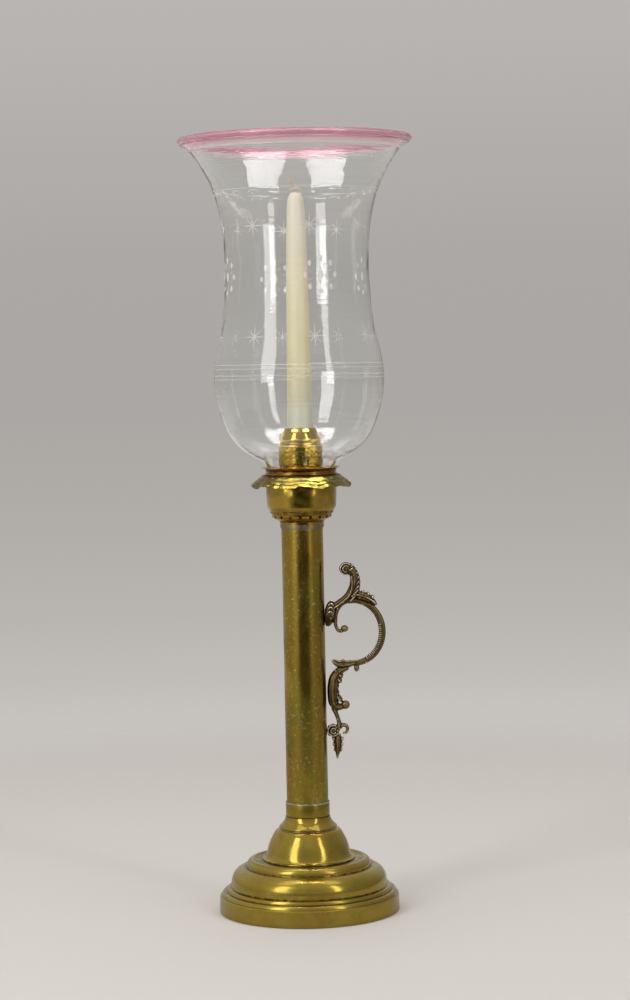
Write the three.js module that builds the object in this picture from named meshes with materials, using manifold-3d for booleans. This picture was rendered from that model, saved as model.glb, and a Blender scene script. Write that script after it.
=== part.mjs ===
// Brass candle lamp with a spring-fed candle and a glass hurricane shade, in millimetres.
// +Z is up, the front faces -Y and the scroll handle stands out towards +X.
// The origin is the middle of the closing plate under the foot, on the table.

import * as THREE from 'three';
import { mergeVertices } from 'three/addons/utils/BufferGeometryUtils.js';
import Module from 'manifold-3d';

const wasm = await Module();
wasm.setup();

// Fits between pieces
const fitGap = 0.3;
const runningGap = 0.4;
const sheetWall = 0.8;

// Stepped foot, measured outwards from the bell that stands on it
const bellFootRadius = 40;
const platformMargin = 7;
const lipWidth = 1.5;
const lipRise = 0.8;
const tierThreeSpread = 5.5;
const tierThreeRise = 6.6;
const tierTwoLedge = 0.8;
const tierTwoSpread = 12.4;
const tierTwoRise = 15.2;
const reedSpread = 9.3;
const reedRise = 8.8;
const reedCount = 2;
const skirtHeight = 15.2;
const skirtTaper = 1.5;
const footRimWidth = 3;
const footWall = 2;

// Closing plate and ballast ring under the foot
const plateThickness = 1.2;
const ballastThickness = 11;
const ballastBore = 30;

// Bell between foot and column
const bellHeight = 37.5;
const bellFlangeHeight = 1.4;
const bellShoulderRadius = 25.8;
const bellShoulderHeight = 25.2;
const bellGroove = 1.2;
const bellWall = 1.5;

// Column, which is also the tube that the candle and its spring slide in
const columnRadius = 18;
const columnWall = 1;
const columnLength = 319.8;
const collarHeight = 12.2;
const collarWall = 0.7;

// Plug, stud, washer and nut that clamp column, bell and foot together
const plugHeight = 10;
const spigotHeight = 3;
const studRadius = 4;
const studTail = 3;
const washerRadius = 10;
const washerThickness = 1.5;
const nutHeight = 6.5;
const nutAcrossFlats = 13;

// Candle, wick and follower cup
const candleRadius = 11;
const candleLength = 253;
const candleStraight = 78;
const candleShoulderDrop = 13;
const candleShoulderRadius = 7.5;
const candleTipRadius = 2.4;
const wickRadius = 0.75;
const wickDepth = 6;
const wickHeight = 17;
const wickLean = 5.2;
const followerDepth = 35.3;

// Spring under the follower
const springWire = 1.4;
const springTurns = 20;
const springEndTurns = 0.75;

// Cap with its two bayonet slots, and the pins in the column
const capCover = 14.8;
const capWall = 0.7;
const capNeckHeight = 5.6;
const capNeckInset = 1.4;
const capConeHeight = 10.5;
const capBead = 0.3;
const slotWidth = 5.8;
const slotAngle = 12.8;
const slotEndAngle = 60;
const slotTopHeight = 11.9;
const slotCornerDepth = 5.1;
const slotEndDepth = 2.8;
const pinRadius = 1.1;
const pinProud = 0.5;

// Gallery soldered round the column
const galleryDrop = 69.3;
const crownNeckHeight = 5;
const crownNeckWall = 0.5;
const crownRadius = 25.9;
const crownHeight = 12;
const ventCount = 18;
const ventRadius = 1.35;
const bowlRadius = 30.4;
const bowlHeight = 32.8;
const bowlFootRise = 3.9;
const bowlFloorPlay = 5;
const skirtRingWidth = 3.4;
const dripSpread = 10.4;
const dripFall = 9.2;
const dripWave = 1.1;
const dripWaves = 8;
const cupDepth = 7.6;
const cupLedge = 4;
const cupNeckHeight = 3.8;
const cupBead = 0.8;
const lipSpread = 3.8;
const lipHeight = 2.8;

// Glass shade, with heights counted from the bottom of its neck
const neckPlay = 0.5;
const glassWall = 2.2;
const neckTop = 9;
const bellyRadius = 73.2;
const bellyHeight = 87.4;
const bellyEllipseWidth = 54.6;
const bellyEllipseHeight = 71.5;
const waistRadius = 61.9;
const waistHeight = 185.9;
const mouthRadius = 99.2;
const mouthHeight = 292.3;
const rimBand = 0.84;
const rimBeadRadius = 2.2;

// Cast scroll handle; lengths run outwards from the column and up from the rosette
const rosetteHeight = 73.5;
const scrollOut = 25;
const scrollUp = 85.5;
const scrollWidth = 24.5;
const scrollRise = 27.1;
const scrollThickness = 1.75;
const scrollDepth = 1.35;

// Facets round the pieces
const largeSides = 32;
const smallSides = 24;
const pinSides = 8;
const holeSides = 12;

// Heights that follow from the sizes above
const platformHeight = skirtHeight + reedRise + tierTwoRise + tierThreeRise - lipRise;
const columnFoot = platformHeight + bellHeight;
const columnTop = columnFoot + columnLength;
const capSeat = columnTop + fitGap;
const capFoot = capSeat - capCover;
const galleryFoot = columnTop - galleryDrop;

// Radii that follow from the sizes above
const columnBore = columnRadius - columnWall;
const sleeveBore = columnRadius + fitGap;
const collarRadius = sleeveBore + collarWall;
const capRadius = sleeveBore + capWall;
const mouthBore = candleRadius + runningGap;
const followerRadius = columnBore - runningGap;

const brass = { color: 0x9c8434, metalness: 1, roughness: 0.32 };
const darkBrass = { color: 0x5e4a22, metalness: 1, roughness: 0.5 };
const copperyBrass = { color: 0x8a5a22, metalness: 1, roughness: 0.35 };
const steel = { color: 0x8d8f92, metalness: 1, roughness: 0.4 };
const castIron = { color: 0x3a3a3b, metalness: 0.9, roughness: 0.75 };
const clearGlass = { color: 0xeef2f1, metalness: 0, roughness: 0.03, transparent: true, opacity: 0.3 };
const roseGlass = { color: 0xb84f70, metalness: 0, roughness: 0.05, transparent: true, opacity: 0.75 };
const wax = { color: 0xe6dfc2, metalness: 0, roughness: 0.55 };
const cotton = { color: 0xc9b48c, metalness: 0, roughness: 0.9 };

// Keeps positions only, drops flattened triangles and turns the faces outwards
function weld(geometry) {
  geometry.deleteAttribute('normal');
  geometry.deleteAttribute('uv');
  const merged = mergeVertices(geometry, 1e-3);
  const point = merged.attributes.position;
  const corner = [0, 1, 2].map(() => new THREE.Vector3());
  const triangles = [];
  let volume = 0;
  for (let i = 0; i < merged.index.count; i += 3) {
    const triangle = [0, 1, 2].map((k) => merged.index.getX(i + k));
    if (new Set(triangle).size < 3) continue;
    triangles.push(triangle);
    triangle.forEach((vertex, k) => corner[k].fromBufferAttribute(point, vertex));
    volume += corner[0].dot(corner[1].cross(corner[2]));
  }
  const outward = volume > 0 ? triangles : triangles.map(([a, b, c]) => [a, c, b]);
  merged.setIndex(outward.flat());
  return merged;
}

function toSolid(geometry) {
  return new wasm.Manifold(new wasm.Mesh({
    numProp: 3,
    vertProperties: new Float32Array(geometry.attributes.position.array),
    triVerts: new Uint32Array(geometry.index.array),
  }));
}

function toGeometry(solid) {
  const mesh = solid.getMesh();
  const geometry = new THREE.BufferGeometry();
  geometry.setAttribute('position', new THREE.BufferAttribute(mesh.vertProperties, 3));
  geometry.setIndex(new THREE.BufferAttribute(mesh.triVerts, 1));
  return geometry;
}

function cut(geometry, tools) {
  return toGeometry(tools.reduce((solid, tool) => solid.subtract(toSolid(tool)), toSolid(geometry)));
}

function join(geometries) {
  return toGeometry(geometries.map(toSolid).reduce((solid, other) => solid.add(other)));
}

// Turns a closed outline of [radius, height] points about the Z axis
function revolve(outline, sides) {
  const points = [...outline, outline[0]].map(([r, z]) => new THREE.Vector2(Math.max(r, 0), z));
  const geometry = new THREE.LatheGeometry(points, sides);
  geometry.rotateX(Math.PI / 2);
  return weld(geometry);
}

// Closes a stack of equal rings of points into one solid
function loft(rings) {
  const size = rings[0].length;
  const last = (rings.length - 1) * size;
  const triangles = [];
  for (let start = 0; start < last; start += size) {
    for (let side = 0; side < size; side++) {
      const a = start + side;
      const b = start + (side + 1) % size;
      triangles.push(a, b, b + size, a, b + size, a + size);
    }
  }
  for (let side = 1; side + 1 < size; side++) {
    triangles.push(0, side + 1, side, last, last + side, last + side + 1);
  }
  const geometry = new THREE.BufferGeometry();
  geometry.setAttribute('position', new THREE.Float32BufferAttribute(
    rings.flat().flatMap((point) => point.toArray()), 3));
  geometry.setIndex(triangles);
  return weld(geometry);
}

// Points of an elliptical arc round [centreR, centreZ], with angles in degrees from the radius
function arc([centreR, centreZ], [width, height], from, to, steps) {
  return Array.from({ length: steps + 1 }, (_, i) => {
    const angle = THREE.MathUtils.degToRad(from + (to - from) * i / steps);
    return [centreR + width * Math.cos(angle), centreZ + height * Math.sin(angle)];
  });
}

function bezier(start, startHandle, endHandle, end, steps) {
  const curve = new THREE.CubicBezierCurve(
    ...[start, startHandle, endHandle, end].map((point) => new THREE.Vector2(...point)));
  return curve.getPoints(steps).map((point) => point.toArray());
}

// Moves an open outline sideways by a wall's thickness, towards its left hand
function offset(outline, distance) {
  return outline.map(([r, z], i) => {
    const before = outline[Math.max(i - 1, 0)];
    const after = outline[Math.min(i + 1, outline.length - 1)];
    const along = new THREE.Vector2(after[0] - before[0], after[1] - before[1]).normalize();
    return [r - along.y * distance, z + along.x * distance];
  });
}

// A point at an angle in degrees from the front, turning towards the handle's side
function polar(radius, angle, height) {
  const turn = THREE.MathUtils.degToRad(angle);
  return new THREE.Vector3(radius * Math.sin(turn), -radius * Math.cos(turn), height);
}

// Stepped foot: three rounded tiers, reeds above the skirt and a dished platform, thin-walled
function footOutline() {
  const platformRadius = bellFootRadius + platformMargin;
  const lipRadius = platformRadius + lipWidth;
  const tierThreeRadius = lipRadius + tierThreeSpread;
  const tierTwoTop = tierThreeRadius + tierTwoLedge;
  const tierTwoRadius = tierTwoTop + tierTwoSpread;
  const skirtTop = tierTwoRadius + reedSpread;
  const footRadius = skirtTop + skirtTaper;
  const tierTwoFoot = skirtHeight + reedRise;
  const tierThreeFoot = tierTwoFoot + tierTwoRise;
  const lipHeight = platformHeight + lipRise;
  const underside = platformHeight - footWall;
  const studHole = studRadius + fitGap;
  const tierThreeWaist = tierThreeFoot + tierThreeRise / 4;

  const reeds = [];
  for (let i = 0; i < reedCount; i++) {
    const radius = skirtTop - reedSpread * i / reedCount;
    const height = skirtHeight + reedRise * i / reedCount;
    const run = reedSpread / reedCount;
    const rise = reedRise / reedCount;
    reeds.push([radius, height], [radius - run * 0.25, height + rise * 0.45]);
    reeds.push([radius - run * 0.85, height + rise * 0.62]);
  }
  const outside = [
    [footRadius - 0.6, 0],
    [footRadius, 1],
    ...reeds,
    ...arc([tierTwoTop, tierTwoFoot], [tierTwoSpread, tierTwoRise], 0, 90, 5),
    [tierThreeRadius, tierThreeWaist],
    ...arc([lipRadius, tierThreeWaist], [tierThreeSpread, lipHeight - tierThreeWaist], 30, 90, 2),
    [platformRadius, platformHeight],
  ];
  const inside = [
    [studHole, platformHeight],
    [studHole, underside],
    [lipRadius - footWall, underside],
    [tierThreeRadius - footWall, tierThreeFoot - footWall],
    [tierTwoTop, tierThreeFoot - footWall * 1.2],
    [tierTwoTop + tierTwoSpread * 0.55, tierTwoFoot + tierTwoRise * 0.62],
    [tierTwoRadius - footWall, tierTwoFoot],
    [tierTwoRadius - footWall, tierTwoFoot - footWall],
    [footRadius - footRimWidth, skirtHeight - footWall],
    [footRadius - footRimWidth, 0],
  ];
  return { outside, inside, footRadius };
}

function makeFoot() {
  const { outside, inside } = footOutline();
  return revolve([...outside, ...inside], largeSides);
}

// Thin disc, level with the foot's rim, that closes the hollow
function makeBasePlate() {
  const radius = footOutline().footRadius - footRimWidth - fitGap;
  return revolve([[0, 0], [radius, 0], [radius, plateThickness], [0, plateThickness]], largeSides);
}

// Iron ring that loads the foot, lying on the closing plate inside the skirt
function makeBallast() {
  const radius = footOutline().footRadius - footRimWidth - fitGap;
  const edge = 1.5;
  return revolve([
    [ballastBore, 0], [radius, 0], [radius, ballastThickness - edge],
    [radius - edge, ballastThickness], [ballastBore, ballastThickness],
  ], largeSides);
}

// Spun bell: flange, swelling body, a groove, and a hollow neck up to the collar
function makeBell() {
  const neckRadius = collarRadius + 0.1;
  const flangeInset = 2.8;
  const body = bezier(
    [bellFootRadius - flangeInset, bellFlangeHeight + 1], [bellFootRadius * 0.83, bellHeight * 0.24],
    [bellFootRadius * 0.79, bellShoulderHeight * 0.84], [bellShoulderRadius, bellShoulderHeight], 5);
  const neck = bezier(
    [bellShoulderRadius - bellGroove, bellShoulderHeight + bellGroove / 2],
    [neckRadius + 2.4, bellShoulderHeight + 3], [neckRadius, bellHeight - 5],
    [neckRadius, bellHeight], 3);
  const inside = [
    [studRadius + fitGap, bellHeight],
    [studRadius + fitGap, bellHeight - bellWall],
    [neckRadius - bellWall, bellHeight - bellWall],
    [bellShoulderRadius - bellGroove - bellWall, bellShoulderHeight - bellWall],
    [bellFootRadius * 0.76 - bellWall, bellShoulderHeight * 0.6],
    [bellFootRadius - flangeInset - bellWall * 1.5, 0],
  ];
  const flange = [[bellFootRadius, 0], [bellFootRadius, bellFlangeHeight]];
  return revolve([...flange, ...body, ...neck, ...inside], smallSides);
}

// Ferrule round the foot of the column, with a chamfered top edge
function makeCollar() {
  const edge = 0.3;
  return revolve([
    [sleeveBore, 0], [collarRadius, 0], [collarRadius, collarHeight - edge],
    [collarRadius - edge, collarHeight], [sleeveBore, collarHeight],
  ], smallSides);
}

// The bayonet pins sit where the locked cap's slots end
const pinAngle = slotEndAngle - THREE.MathUtils.radToDeg((pinRadius + fitGap) / columnRadius);
const pinHeight = capFoot + slotTopHeight - fitGap - pinRadius;
const sides = [0, 180];

function radialCylinder(radius, inner, outer, angle, height, facets) {
  const geometry = new THREE.CylinderGeometry(radius, radius, outer - inner, facets);
  geometry.translate(0, -(inner + outer) / 2, 0);
  geometry.rotateZ(THREE.MathUtils.degToRad(angle));
  geometry.translate(0, 0, height);
  return weld(geometry);
}

// Plain drawn tube with two holes for the bayonet pins near its top
function makeColumn() {
  const tube = revolve([
    [columnBore, 0], [columnRadius, 0], [columnRadius, columnLength], [columnBore, columnLength],
  ], smallSides);
  const holes = sides.map((side) => radialCylinder(pinRadius + fitGap, columnBore - 3,
    columnRadius + 3, side + pinAngle, pinHeight - columnFoot, pinSides));
  return cut(tube, holes);
}

function makePin(side) {
  return radialCylinder(pinRadius, columnBore, capRadius + pinProud, side + pinAngle, 0, pinSides);
}

// Plug in the column's foot, with the spring's spigot above and the clamping stud below
const studLength = bellHeight + footWall + washerThickness + nutHeight + studTail;
const springCoilRadius = columnBore - 2 * runningGap - springWire;
const stepsPerTurn = 8;

function makePlug() {
  const radius = columnBore - fitGap;
  const spigotRadius = springCoilRadius * Math.cos(Math.PI / stepsPerTurn) - springWire;
  return revolve([
    [0, -studLength], [studRadius - 0.5, -studLength], [studRadius, -studLength + 0.5],
    [studRadius, 0], [radius, 0], [radius, plugHeight],
    [spigotRadius, plugHeight], [spigotRadius, plugHeight + spigotHeight],
    [0, plugHeight + spigotHeight],
  ], smallSides);
}

function makeWasher() {
  const bore = studRadius + fitGap;
  return revolve([
    [bore, 0], [washerRadius, 0], [washerRadius, washerThickness], [bore, washerThickness],
  ], holeSides);
}

function makeNut() {
  const cornerRadius = nutAcrossFlats / Math.sqrt(3);
  const body = new THREE.CylinderGeometry(cornerRadius, cornerRadius, nutHeight, 6);
  const hole = new THREE.CylinderGeometry(studRadius + fitGap, studRadius + fitGap, nutHeight * 2, holeSides);
  return [body, hole].map((geometry) => weld(geometry.rotateX(Math.PI / 2)))
    .reduce((solid, tool) => cut(solid, [tool]));
}

// Compression spring: one wire with flat end turns, and a straight stub at each end
const followerFloor = columnTop - followerDepth - sheetWall;
const springFoot = columnFoot + plugHeight + fitGap;
const springLength = followerFloor - fitGap - springFoot;

function springCentreline() {
  const steps = springTurns * stepsPerTurn;
  const flatSteps = springEndTurns * stepsPerTurn;
  const rise = springLength - springWire;
  const points = Array.from({ length: steps + 1 }, (_, i) => {
    const climb = THREE.MathUtils.clamp((i - flatSteps) / (steps - 2 * flatSteps), 0, 1);
    return polar(springCoilRadius, 360 * i / stepsPerTurn, springWire / 2 + rise * climb);
  });
  const stub = (end, next) => end.clone().add(end.clone().sub(next).setLength(springWire));
  return [stub(points[0], points[1]), ...points, stub(points[steps], points[steps - 1])];
}

// Least distance between the wire's own surfaces, away from neighbouring steps
function leastSelfGap(points, wire) {
  const neighbours = 6;
  let least = Infinity;
  points.forEach((point, i) => {
    for (let j = i + neighbours; j < points.length; j++) {
      least = Math.min(least, point.distanceTo(points[j]) - wire);
    }
  });
  return least;
}

function makeSpring() {
  const points = springCentreline();
  console.log(`spring: least gap to itself ${leastSelfGap(points, springWire).toFixed(2)} mm`);
  const up = new THREE.Vector3(0, 0, 1);
  const wireSides = 5;
  return loft(points.map((point) => {
    const outward = new THREE.Vector3(point.x, point.y, 0).normalize();
    return Array.from({ length: wireSides }, (_, side) => {
      const angle = 2 * Math.PI * side / wireSides;
      return point.clone()
        .addScaledVector(outward, springWire / 2 * Math.cos(angle))
        .addScaledVector(up, springWire / 2 * Math.sin(angle));
    });
  }));
}

// Deep drawn cup that carries the candle's butt up the tube
function makeFollower() {
  const bore = followerRadius - sheetWall;
  const edge = 1.5;
  return revolve([
    [0, 0], [followerRadius - edge, 0], [followerRadius, edge],
    [followerRadius, followerDepth + sheetWall], [bore, followerDepth + sheetWall],
    [bore, sheetWall], [0, sheetWall],
  ], smallSides);
}

// Slanting slot that the pin runs along: rings of four corners, from one angle to the other
function slotCutter(from, to, lowAt, high) {
  const steps = 6;
  return loft(Array.from({ length: steps + 1 }, (_, i) => {
    const angle = from + (to - from) * i / steps;
    const low = lowAt(i / steps);
    return [
      polar(sleeveBore - 2, angle, low), polar(capRadius + 2, angle, low),
      polar(capRadius + 2, angle, high), polar(sleeveBore - 2, angle, high),
    ];
  }));
}

// Cap over the column's top: sleeve with two L slots, two beads and a cone with the candle's mouth
function makeCap() {
  const neckRadius = capRadius - capNeckInset;
  const neckTopHeight = capCover + capNeckHeight;
  const top = neckTopHeight + capConeHeight;
  const outside = [
    [capRadius, 0],
    [capRadius, capCover + 0.3],
    [capRadius + capBead, capCover + 0.9],
    [capRadius - 0.1, capCover + 1.6],
    [neckRadius + 0.4, capCover + 2.1],
    [neckRadius, neckTopHeight - 0.5],
    [neckRadius + capBead, neckTopHeight + 0.1],
    [neckRadius - 0.5, neckTopHeight + 0.9],
    ...bezier([neckRadius - 0.9, neckTopHeight + 1.4], [neckRadius - 2.6, neckTopHeight + 5],
      [mouthBore + 3.2, top - 0.6], [mouthBore + 0.8, top], 3),
  ];
  const stopBore = followerRadius - 1;
  const inside = [
    [mouthBore, top],
    [mouthBore, top - 1.2],
    [stopBore - 0.6, neckTopHeight + 1],
    [stopBore, neckTopHeight - 1],
    [stopBore, capCover],
    [sleeveBore, capCover],
    [sleeveBore, 0],
  ];
  const halfSlot = THREE.MathUtils.radToDeg(slotWidth / 2 / capRadius);
  const corner = slotAngle + halfSlot;
  const slots = sides.flatMap((side) => [
    slotCutter(side + slotAngle - halfSlot, side + corner, () => -2, slotTopHeight),
    slotCutter(side + corner - 1, side + slotEndAngle,
      (t) => slotTopHeight - THREE.MathUtils.lerp(slotCornerDepth, slotEndDepth, t), slotTopHeight),
  ]);
  return cut(revolve([...outside, ...inside], smallSides), slots);
}

// Perforated crown: a neck soldered to the column that flares into a ring of air holes
function makeCrown() {
  const neckRadius = sleeveBore + crownNeckWall;
  const flare = bezier([neckRadius, crownNeckHeight], [neckRadius + 2.5, crownNeckHeight + 2.6],
    [crownRadius, crownNeckHeight + 2.4], [crownRadius, crownHeight - 0.9], 3);
  const outside = [[neckRadius, 0], ...flare, [crownRadius, crownHeight]];
  const inside = [
    [crownRadius - sheetWall, crownHeight],
    ...offset(flare, sheetWall).reverse().slice(0, -1),
    [sleeveBore, crownNeckHeight + 0.6],
    [sleeveBore, 0],
  ];
  const vents = Array.from({ length: ventCount }, (_, i) => radialCylinder(ventRadius,
    crownRadius - 4, crownRadius + 3, (i + 0.85) * 360 / ventCount, crownHeight - 2.3, 6));
  return cut(revolve([...outside, ...inside], smallSides), vents);
}

// Bowl of the gallery: an air chamber with an open floor that stands on the crown
function makeBowl() {
  const footRadius = crownRadius + 0.6;
  const outside = [
    [footRadius, 0],
    [footRadius + 0.6, 1],
    ...bezier([footRadius + 1, 1.8], [footRadius + 2.6, bowlFootRise - 0.6],
      [bowlRadius - 0.5, bowlFootRise], [bowlRadius - 0.4, bowlFootRise * 2.4], 3),
    [bowlRadius, bowlHeight],
  ];
  const wallFoot = [footRadius - sheetWall + 1.2, 2 * sheetWall + 0.6];
  const inside = [
    [bowlRadius - sheetWall, bowlHeight],
    [bowlRadius - 0.4 - sheetWall, bowlFootRise * 2.4],
    [bowlRadius - 1 - sheetWall, bowlFootRise + 0.6],
    wallFoot,
    [footRadius - 1, sheetWall],
    [columnRadius + bowlFloorPlay, sheetWall],
    [columnRadius + bowlFloorPlay, 0],
  ];
  return revolve([...outside, ...inside], smallSides);
}

// Drip skirt: a flat ring on the bowl's rim that falls away to a waved edge
function makeDripSkirt() {
  const bore = bowlRadius - sheetWall;
  const ringRadius = bore + skirtRingWidth;
  const edgeRadius = ringRadius + dripSpread;
  const geometry = revolve([
    [bore, -sheetWall],
    [ringRadius - 0.4, -sheetWall],
    [edgeRadius - 0.5, -dripFall - sheetWall],
    [edgeRadius, -dripFall - sheetWall / 3],
    [edgeRadius - dripSpread / 2, -dripFall / 2 + 0.3],
    [ringRadius, 0],
    [bore, 0],
  ], dripWaves * 5);
  const point = geometry.attributes.position;
  for (let i = 0; i < point.count; i++) {
    const radius = Math.hypot(point.getX(i), point.getY(i));
    const reach = Math.max(0, (radius - ringRadius) / dripSpread);
    const wave = Math.cos(dripWaves * Math.atan2(point.getY(i), point.getX(i)));
    point.setZ(i, point.getZ(i) + dripWave * reach * wave);
  }
  return geometry;
}

// Shade cup: hangs in the bowl by its bead, with a ledge for the glass and a flared lip
const cupRadius = bowlRadius - sheetWall - fitGap;
const cupNeckRadius = bowlRadius - 0.1;

function makeShadeCup() {
  const bore = cupRadius - sheetWall;
  const neckBore = cupNeckRadius - sheetWall;
  const lipRadius = cupNeckRadius + lipSpread;
  const top = cupNeckHeight + lipHeight;
  return revolve([
    [bore - cupLedge, -cupDepth], [cupRadius, -cupDepth], [cupRadius, 0],
    [cupNeckRadius, 0], [cupNeckRadius + cupBead, 0.8], [cupNeckRadius + cupBead, 1.6],
    [cupNeckRadius, 2.4], [cupNeckRadius, cupNeckHeight],
    [lipRadius - 0.8, top - 0.7], [lipRadius, top - 0.3], [lipRadius - 0.6, top],
    [neckBore + 0.6, cupNeckHeight + 0.9],
    [neckBore, cupNeckHeight - 1], [neckBore, 1],
    [bore, 0], [bore, sheetWall - cupDepth], [bore - cupLedge, sheetWall - cupDepth],
  ], smallSides);
}

// Outer line of the glass: neck, belly, waist and flared mouth
function shadeLine() {
  const neckRadius = cupRadius - sheetWall - neckPlay;
  const ellipseCentre = [bellyRadius - bellyEllipseWidth, bellyHeight];
  const belly = arc(ellipseCentre, [bellyEllipseWidth, bellyEllipseHeight], -64.4, 0, 6);
  const [root, next] = belly;
  const shoulder = bezier([neckRadius, neckTop], [neckRadius, neckTop + 6.5],
    [root[0] - (next[0] - root[0]) * 0.6, root[1] - (next[1] - root[1]) * 0.6], root, 3);
  const waist = bezier([bellyRadius, bellyHeight], [bellyRadius, bellyHeight + 28],
    [waistRadius, waistHeight - 65], [waistRadius, waistHeight], 4);
  return [[neckRadius, 0], ...shoulder.slice(0, -1), ...belly.slice(0, -1), ...waist.slice(0, -1)];
}

// The flare from the waist to the mouth, between two shares of its length
function flareLine(from, to, steps) {
  const curve = new THREE.CubicBezierCurve(
    new THREE.Vector2(waistRadius, waistHeight),
    new THREE.Vector2(waistRadius, waistHeight + 52),
    new THREE.Vector2(waistRadius + 18, mouthHeight - 15.5),
    new THREE.Vector2(mouthRadius, mouthHeight));
  return Array.from({ length: steps + 1 }, (_, i) => curve.getPoint(from + (to - from) * i / steps))
    .map((point) => point.toArray());
}

function makeShade() {
  const outside = [...shadeLine(), ...flareLine(0, rimBand, 5)];
  const inside = offset(outside, glassWall).reverse();
  return revolve([...outside, ...inside], largeSides);
}

// Rose glass round the mouth: a band that carries on the flare, ending in a rolled bead
function makeShadeRim() {
  const gapShare = rimBand + fitGap / (mouthRadius - waistRadius) / 1.5;
  const outside = flareLine(gapShare, 1, 3);
  const inside = offset(outside, glassWall).reverse();
  const middle = [0, 1].map((k) => (outside.at(-1)[k] + inside[0][k]) / 2);
  const bead = arc(middle, [rimBeadRadius, rimBeadRadius], -45, 135, 6);
  return revolve([...outside.slice(0, -1), ...bead, ...inside.slice(1)], largeSides);
}

// Bar of the handle through [out, up] points, each with its own half-thickness
function bar(points, halfThickness, steps, facets = 6) {
  const path = new THREE.CatmullRomCurve3(points.map(([out, up]) => new THREE.Vector3(out, 0, up)));
  const side = new THREE.Vector3(0, 1, 0);
  return loft(Array.from({ length: steps + 1 }, (_, i) => {
    const t = i / steps;
    const place = t * (halfThickness.length - 1);
    const index = Math.min(Math.floor(place), halfThickness.length - 2);
    const half = THREE.MathUtils.lerp(halfThickness[index], halfThickness[index + 1], place - index);
    const across = path.getTangent(t).cross(side).normalize();
    return Array.from({ length: facets }, (_, k) => {
      const angle = 2 * Math.PI * k / facets;
      return path.getPoint(t)
        .addScaledVector(across, half * Math.cos(angle))
        .addScaledVector(side, half * scrollDepth * Math.sin(angle));
    });
  }));
}

// Rounded boss or lobe, tilted in degrees about the line of sight or about the outward axis
function lobe([out, up], [width, depth, height], { tilt = 0, fan = 0, aside = 0 } = {}) {
  const geometry = new THREE.SphereGeometry(1, 6, 4);
  geometry.rotateX(Math.PI / 2);
  geometry.scale(width, depth, height);
  geometry.rotateY(THREE.MathUtils.degToRad(tilt));
  geometry.rotateX(THREE.MathUtils.degToRad(fan));
  geometry.translate(out, aside, up);
  return weld(geometry);
}

// A place on the C scroll, in shares of its half-width and half-height from its centre
function onScroll(across, up) {
  return [scrollOut + scrollWidth * across, scrollUp + scrollRise * up];
}

// C scroll: the inner volute, the reeded sweep and the leaf end with its lower knob
function cScroll() {
  const volute = [[-0.33, 0.11], [-0.5, 0.03], [-0.62, 0.16], [-0.65, 0.37], [-0.62, 0.62],
    [-0.51, 0.83], [-0.33, 0.97], [-0.1, 1]].map((share) => onScroll(...share));
  const sweepSteps = 24;
  const sweep = arc(onScroll(0, 0), [scrollWidth, scrollRise], 84, -84, sweepSteps);
  const sweepThickness = sweep.map((_, i) => {
    const reeded = i > 7 && i < 21;
    return scrollThickness * (reeded ? 1 + (i % 2 ? 0.16 : -0.12) : 1.06);
  });
  const end = [[-0.02, -1], [-0.25, -1.04], [-0.48, -1.06], [-0.78, -0.9]].map((share) => onScroll(...share));
  return [
    bar(volute, [2.2, 1.5, 1.5, 1.9, 2.1, 2.3, 2.6, 2.7, 2.3], 12),
    bar([onScroll(-0.2, 1), ...sweep, onScroll(-0.2, -1.03)],
      [2.2, ...sweepThickness, 2.4], sweepSteps + 2),
    bar(end, [2.1, 3.1, 3, 1], 6),
    lobe(onScroll(-0.33, 0.11), [3.3, 3.6, 3]),
    lobe(onScroll(0.07, -1.16), [2.4, 2.6, 3.4]),
    lobe(onScroll(-0.4, -0.95), [1.6, 2.4, 2.6], { tilt: -20 }),
    bar(arc(onScroll(0, 0), [scrollWidth + 3.4, scrollRise + 4], 92, 50, 6),
      [1, 2.3, 2.7, 2.3, 1.1], 7),
    lobe(onScroll(0.42, 1.09), [3, 3.6, 1.9], { tilt: 22 }),
  ];
}

// Leaf that rises from the palmette and curls over into a knob, lobed along its back
function finial() {
  const spine = [[6, 106], [12, 110.3], [18, 114.3], [23.3, 120.6], [26, 128.4], [25.8, 135], [22.5, 140]];
  const lobes = [[28.6, 119.6], [29.9, 125.8], [29.6, 132], [27.6, 138]];
  return [
    bar(spine, [3, 3.1, 3.3, 3.9, 4.1, 4.2, 4.6], 10),
    lobe([19, 140.4], [5.9, 5.6, 5.7]),
    ...lobes.map((place) => lobe(place, [2.5, 4.2, 3], { tilt: 25 })),
  ];
}

// Fan of ribs against the column, where the handle's upper end is soldered
function palmette() {
  const ribs = [-2, -1, 0, 1, 2].map((rib) => {
    const fan = rib * 17;
    const reach = 10.5 - Math.abs(rib);
    const aside = reach * Math.sin(THREE.MathUtils.degToRad(fan));
    const drop = columnRadius - Math.sqrt(columnRadius ** 2 - aside ** 2);
    const place = [3.6 - drop, 91 + reach * Math.cos(THREE.MathUtils.degToRad(fan))];
    return lobe(place, [3.9 - Math.abs(rib) * 0.4, 2.4, reach + 0.8], { fan: -fan, tilt: 9, aside });
  });
  return [...ribs, lobe([5, 103], [3.4, 4.4, 8.6])];
}

// S scroll with its leaf tips, below the C scroll
function sScroll() {
  const spine = [[19.5, 55], [12.3, 52], [7.4, 46], [5.8, 38], [5.7, 30.3], [6.4, 24], [9.6, 20.8],
    [13.8, 20.9], [16.6, 22]];
  return [
    bar(spine, [2.6, 3.4, 4.1, 4.2, 4.1, 3.8, 2.9, 2.4, 2.2], 13),
    lobe([16.4, 22.2], [3.9, 4, 3.8]),
    lobe([11.8, 44.6], [2.2, 3.2, 3.4], { tilt: -20 }),
    lobe([9.4, 33.8], [2.2, 3.2, 3.2], { tilt: -20 }),
  ];
}

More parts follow.
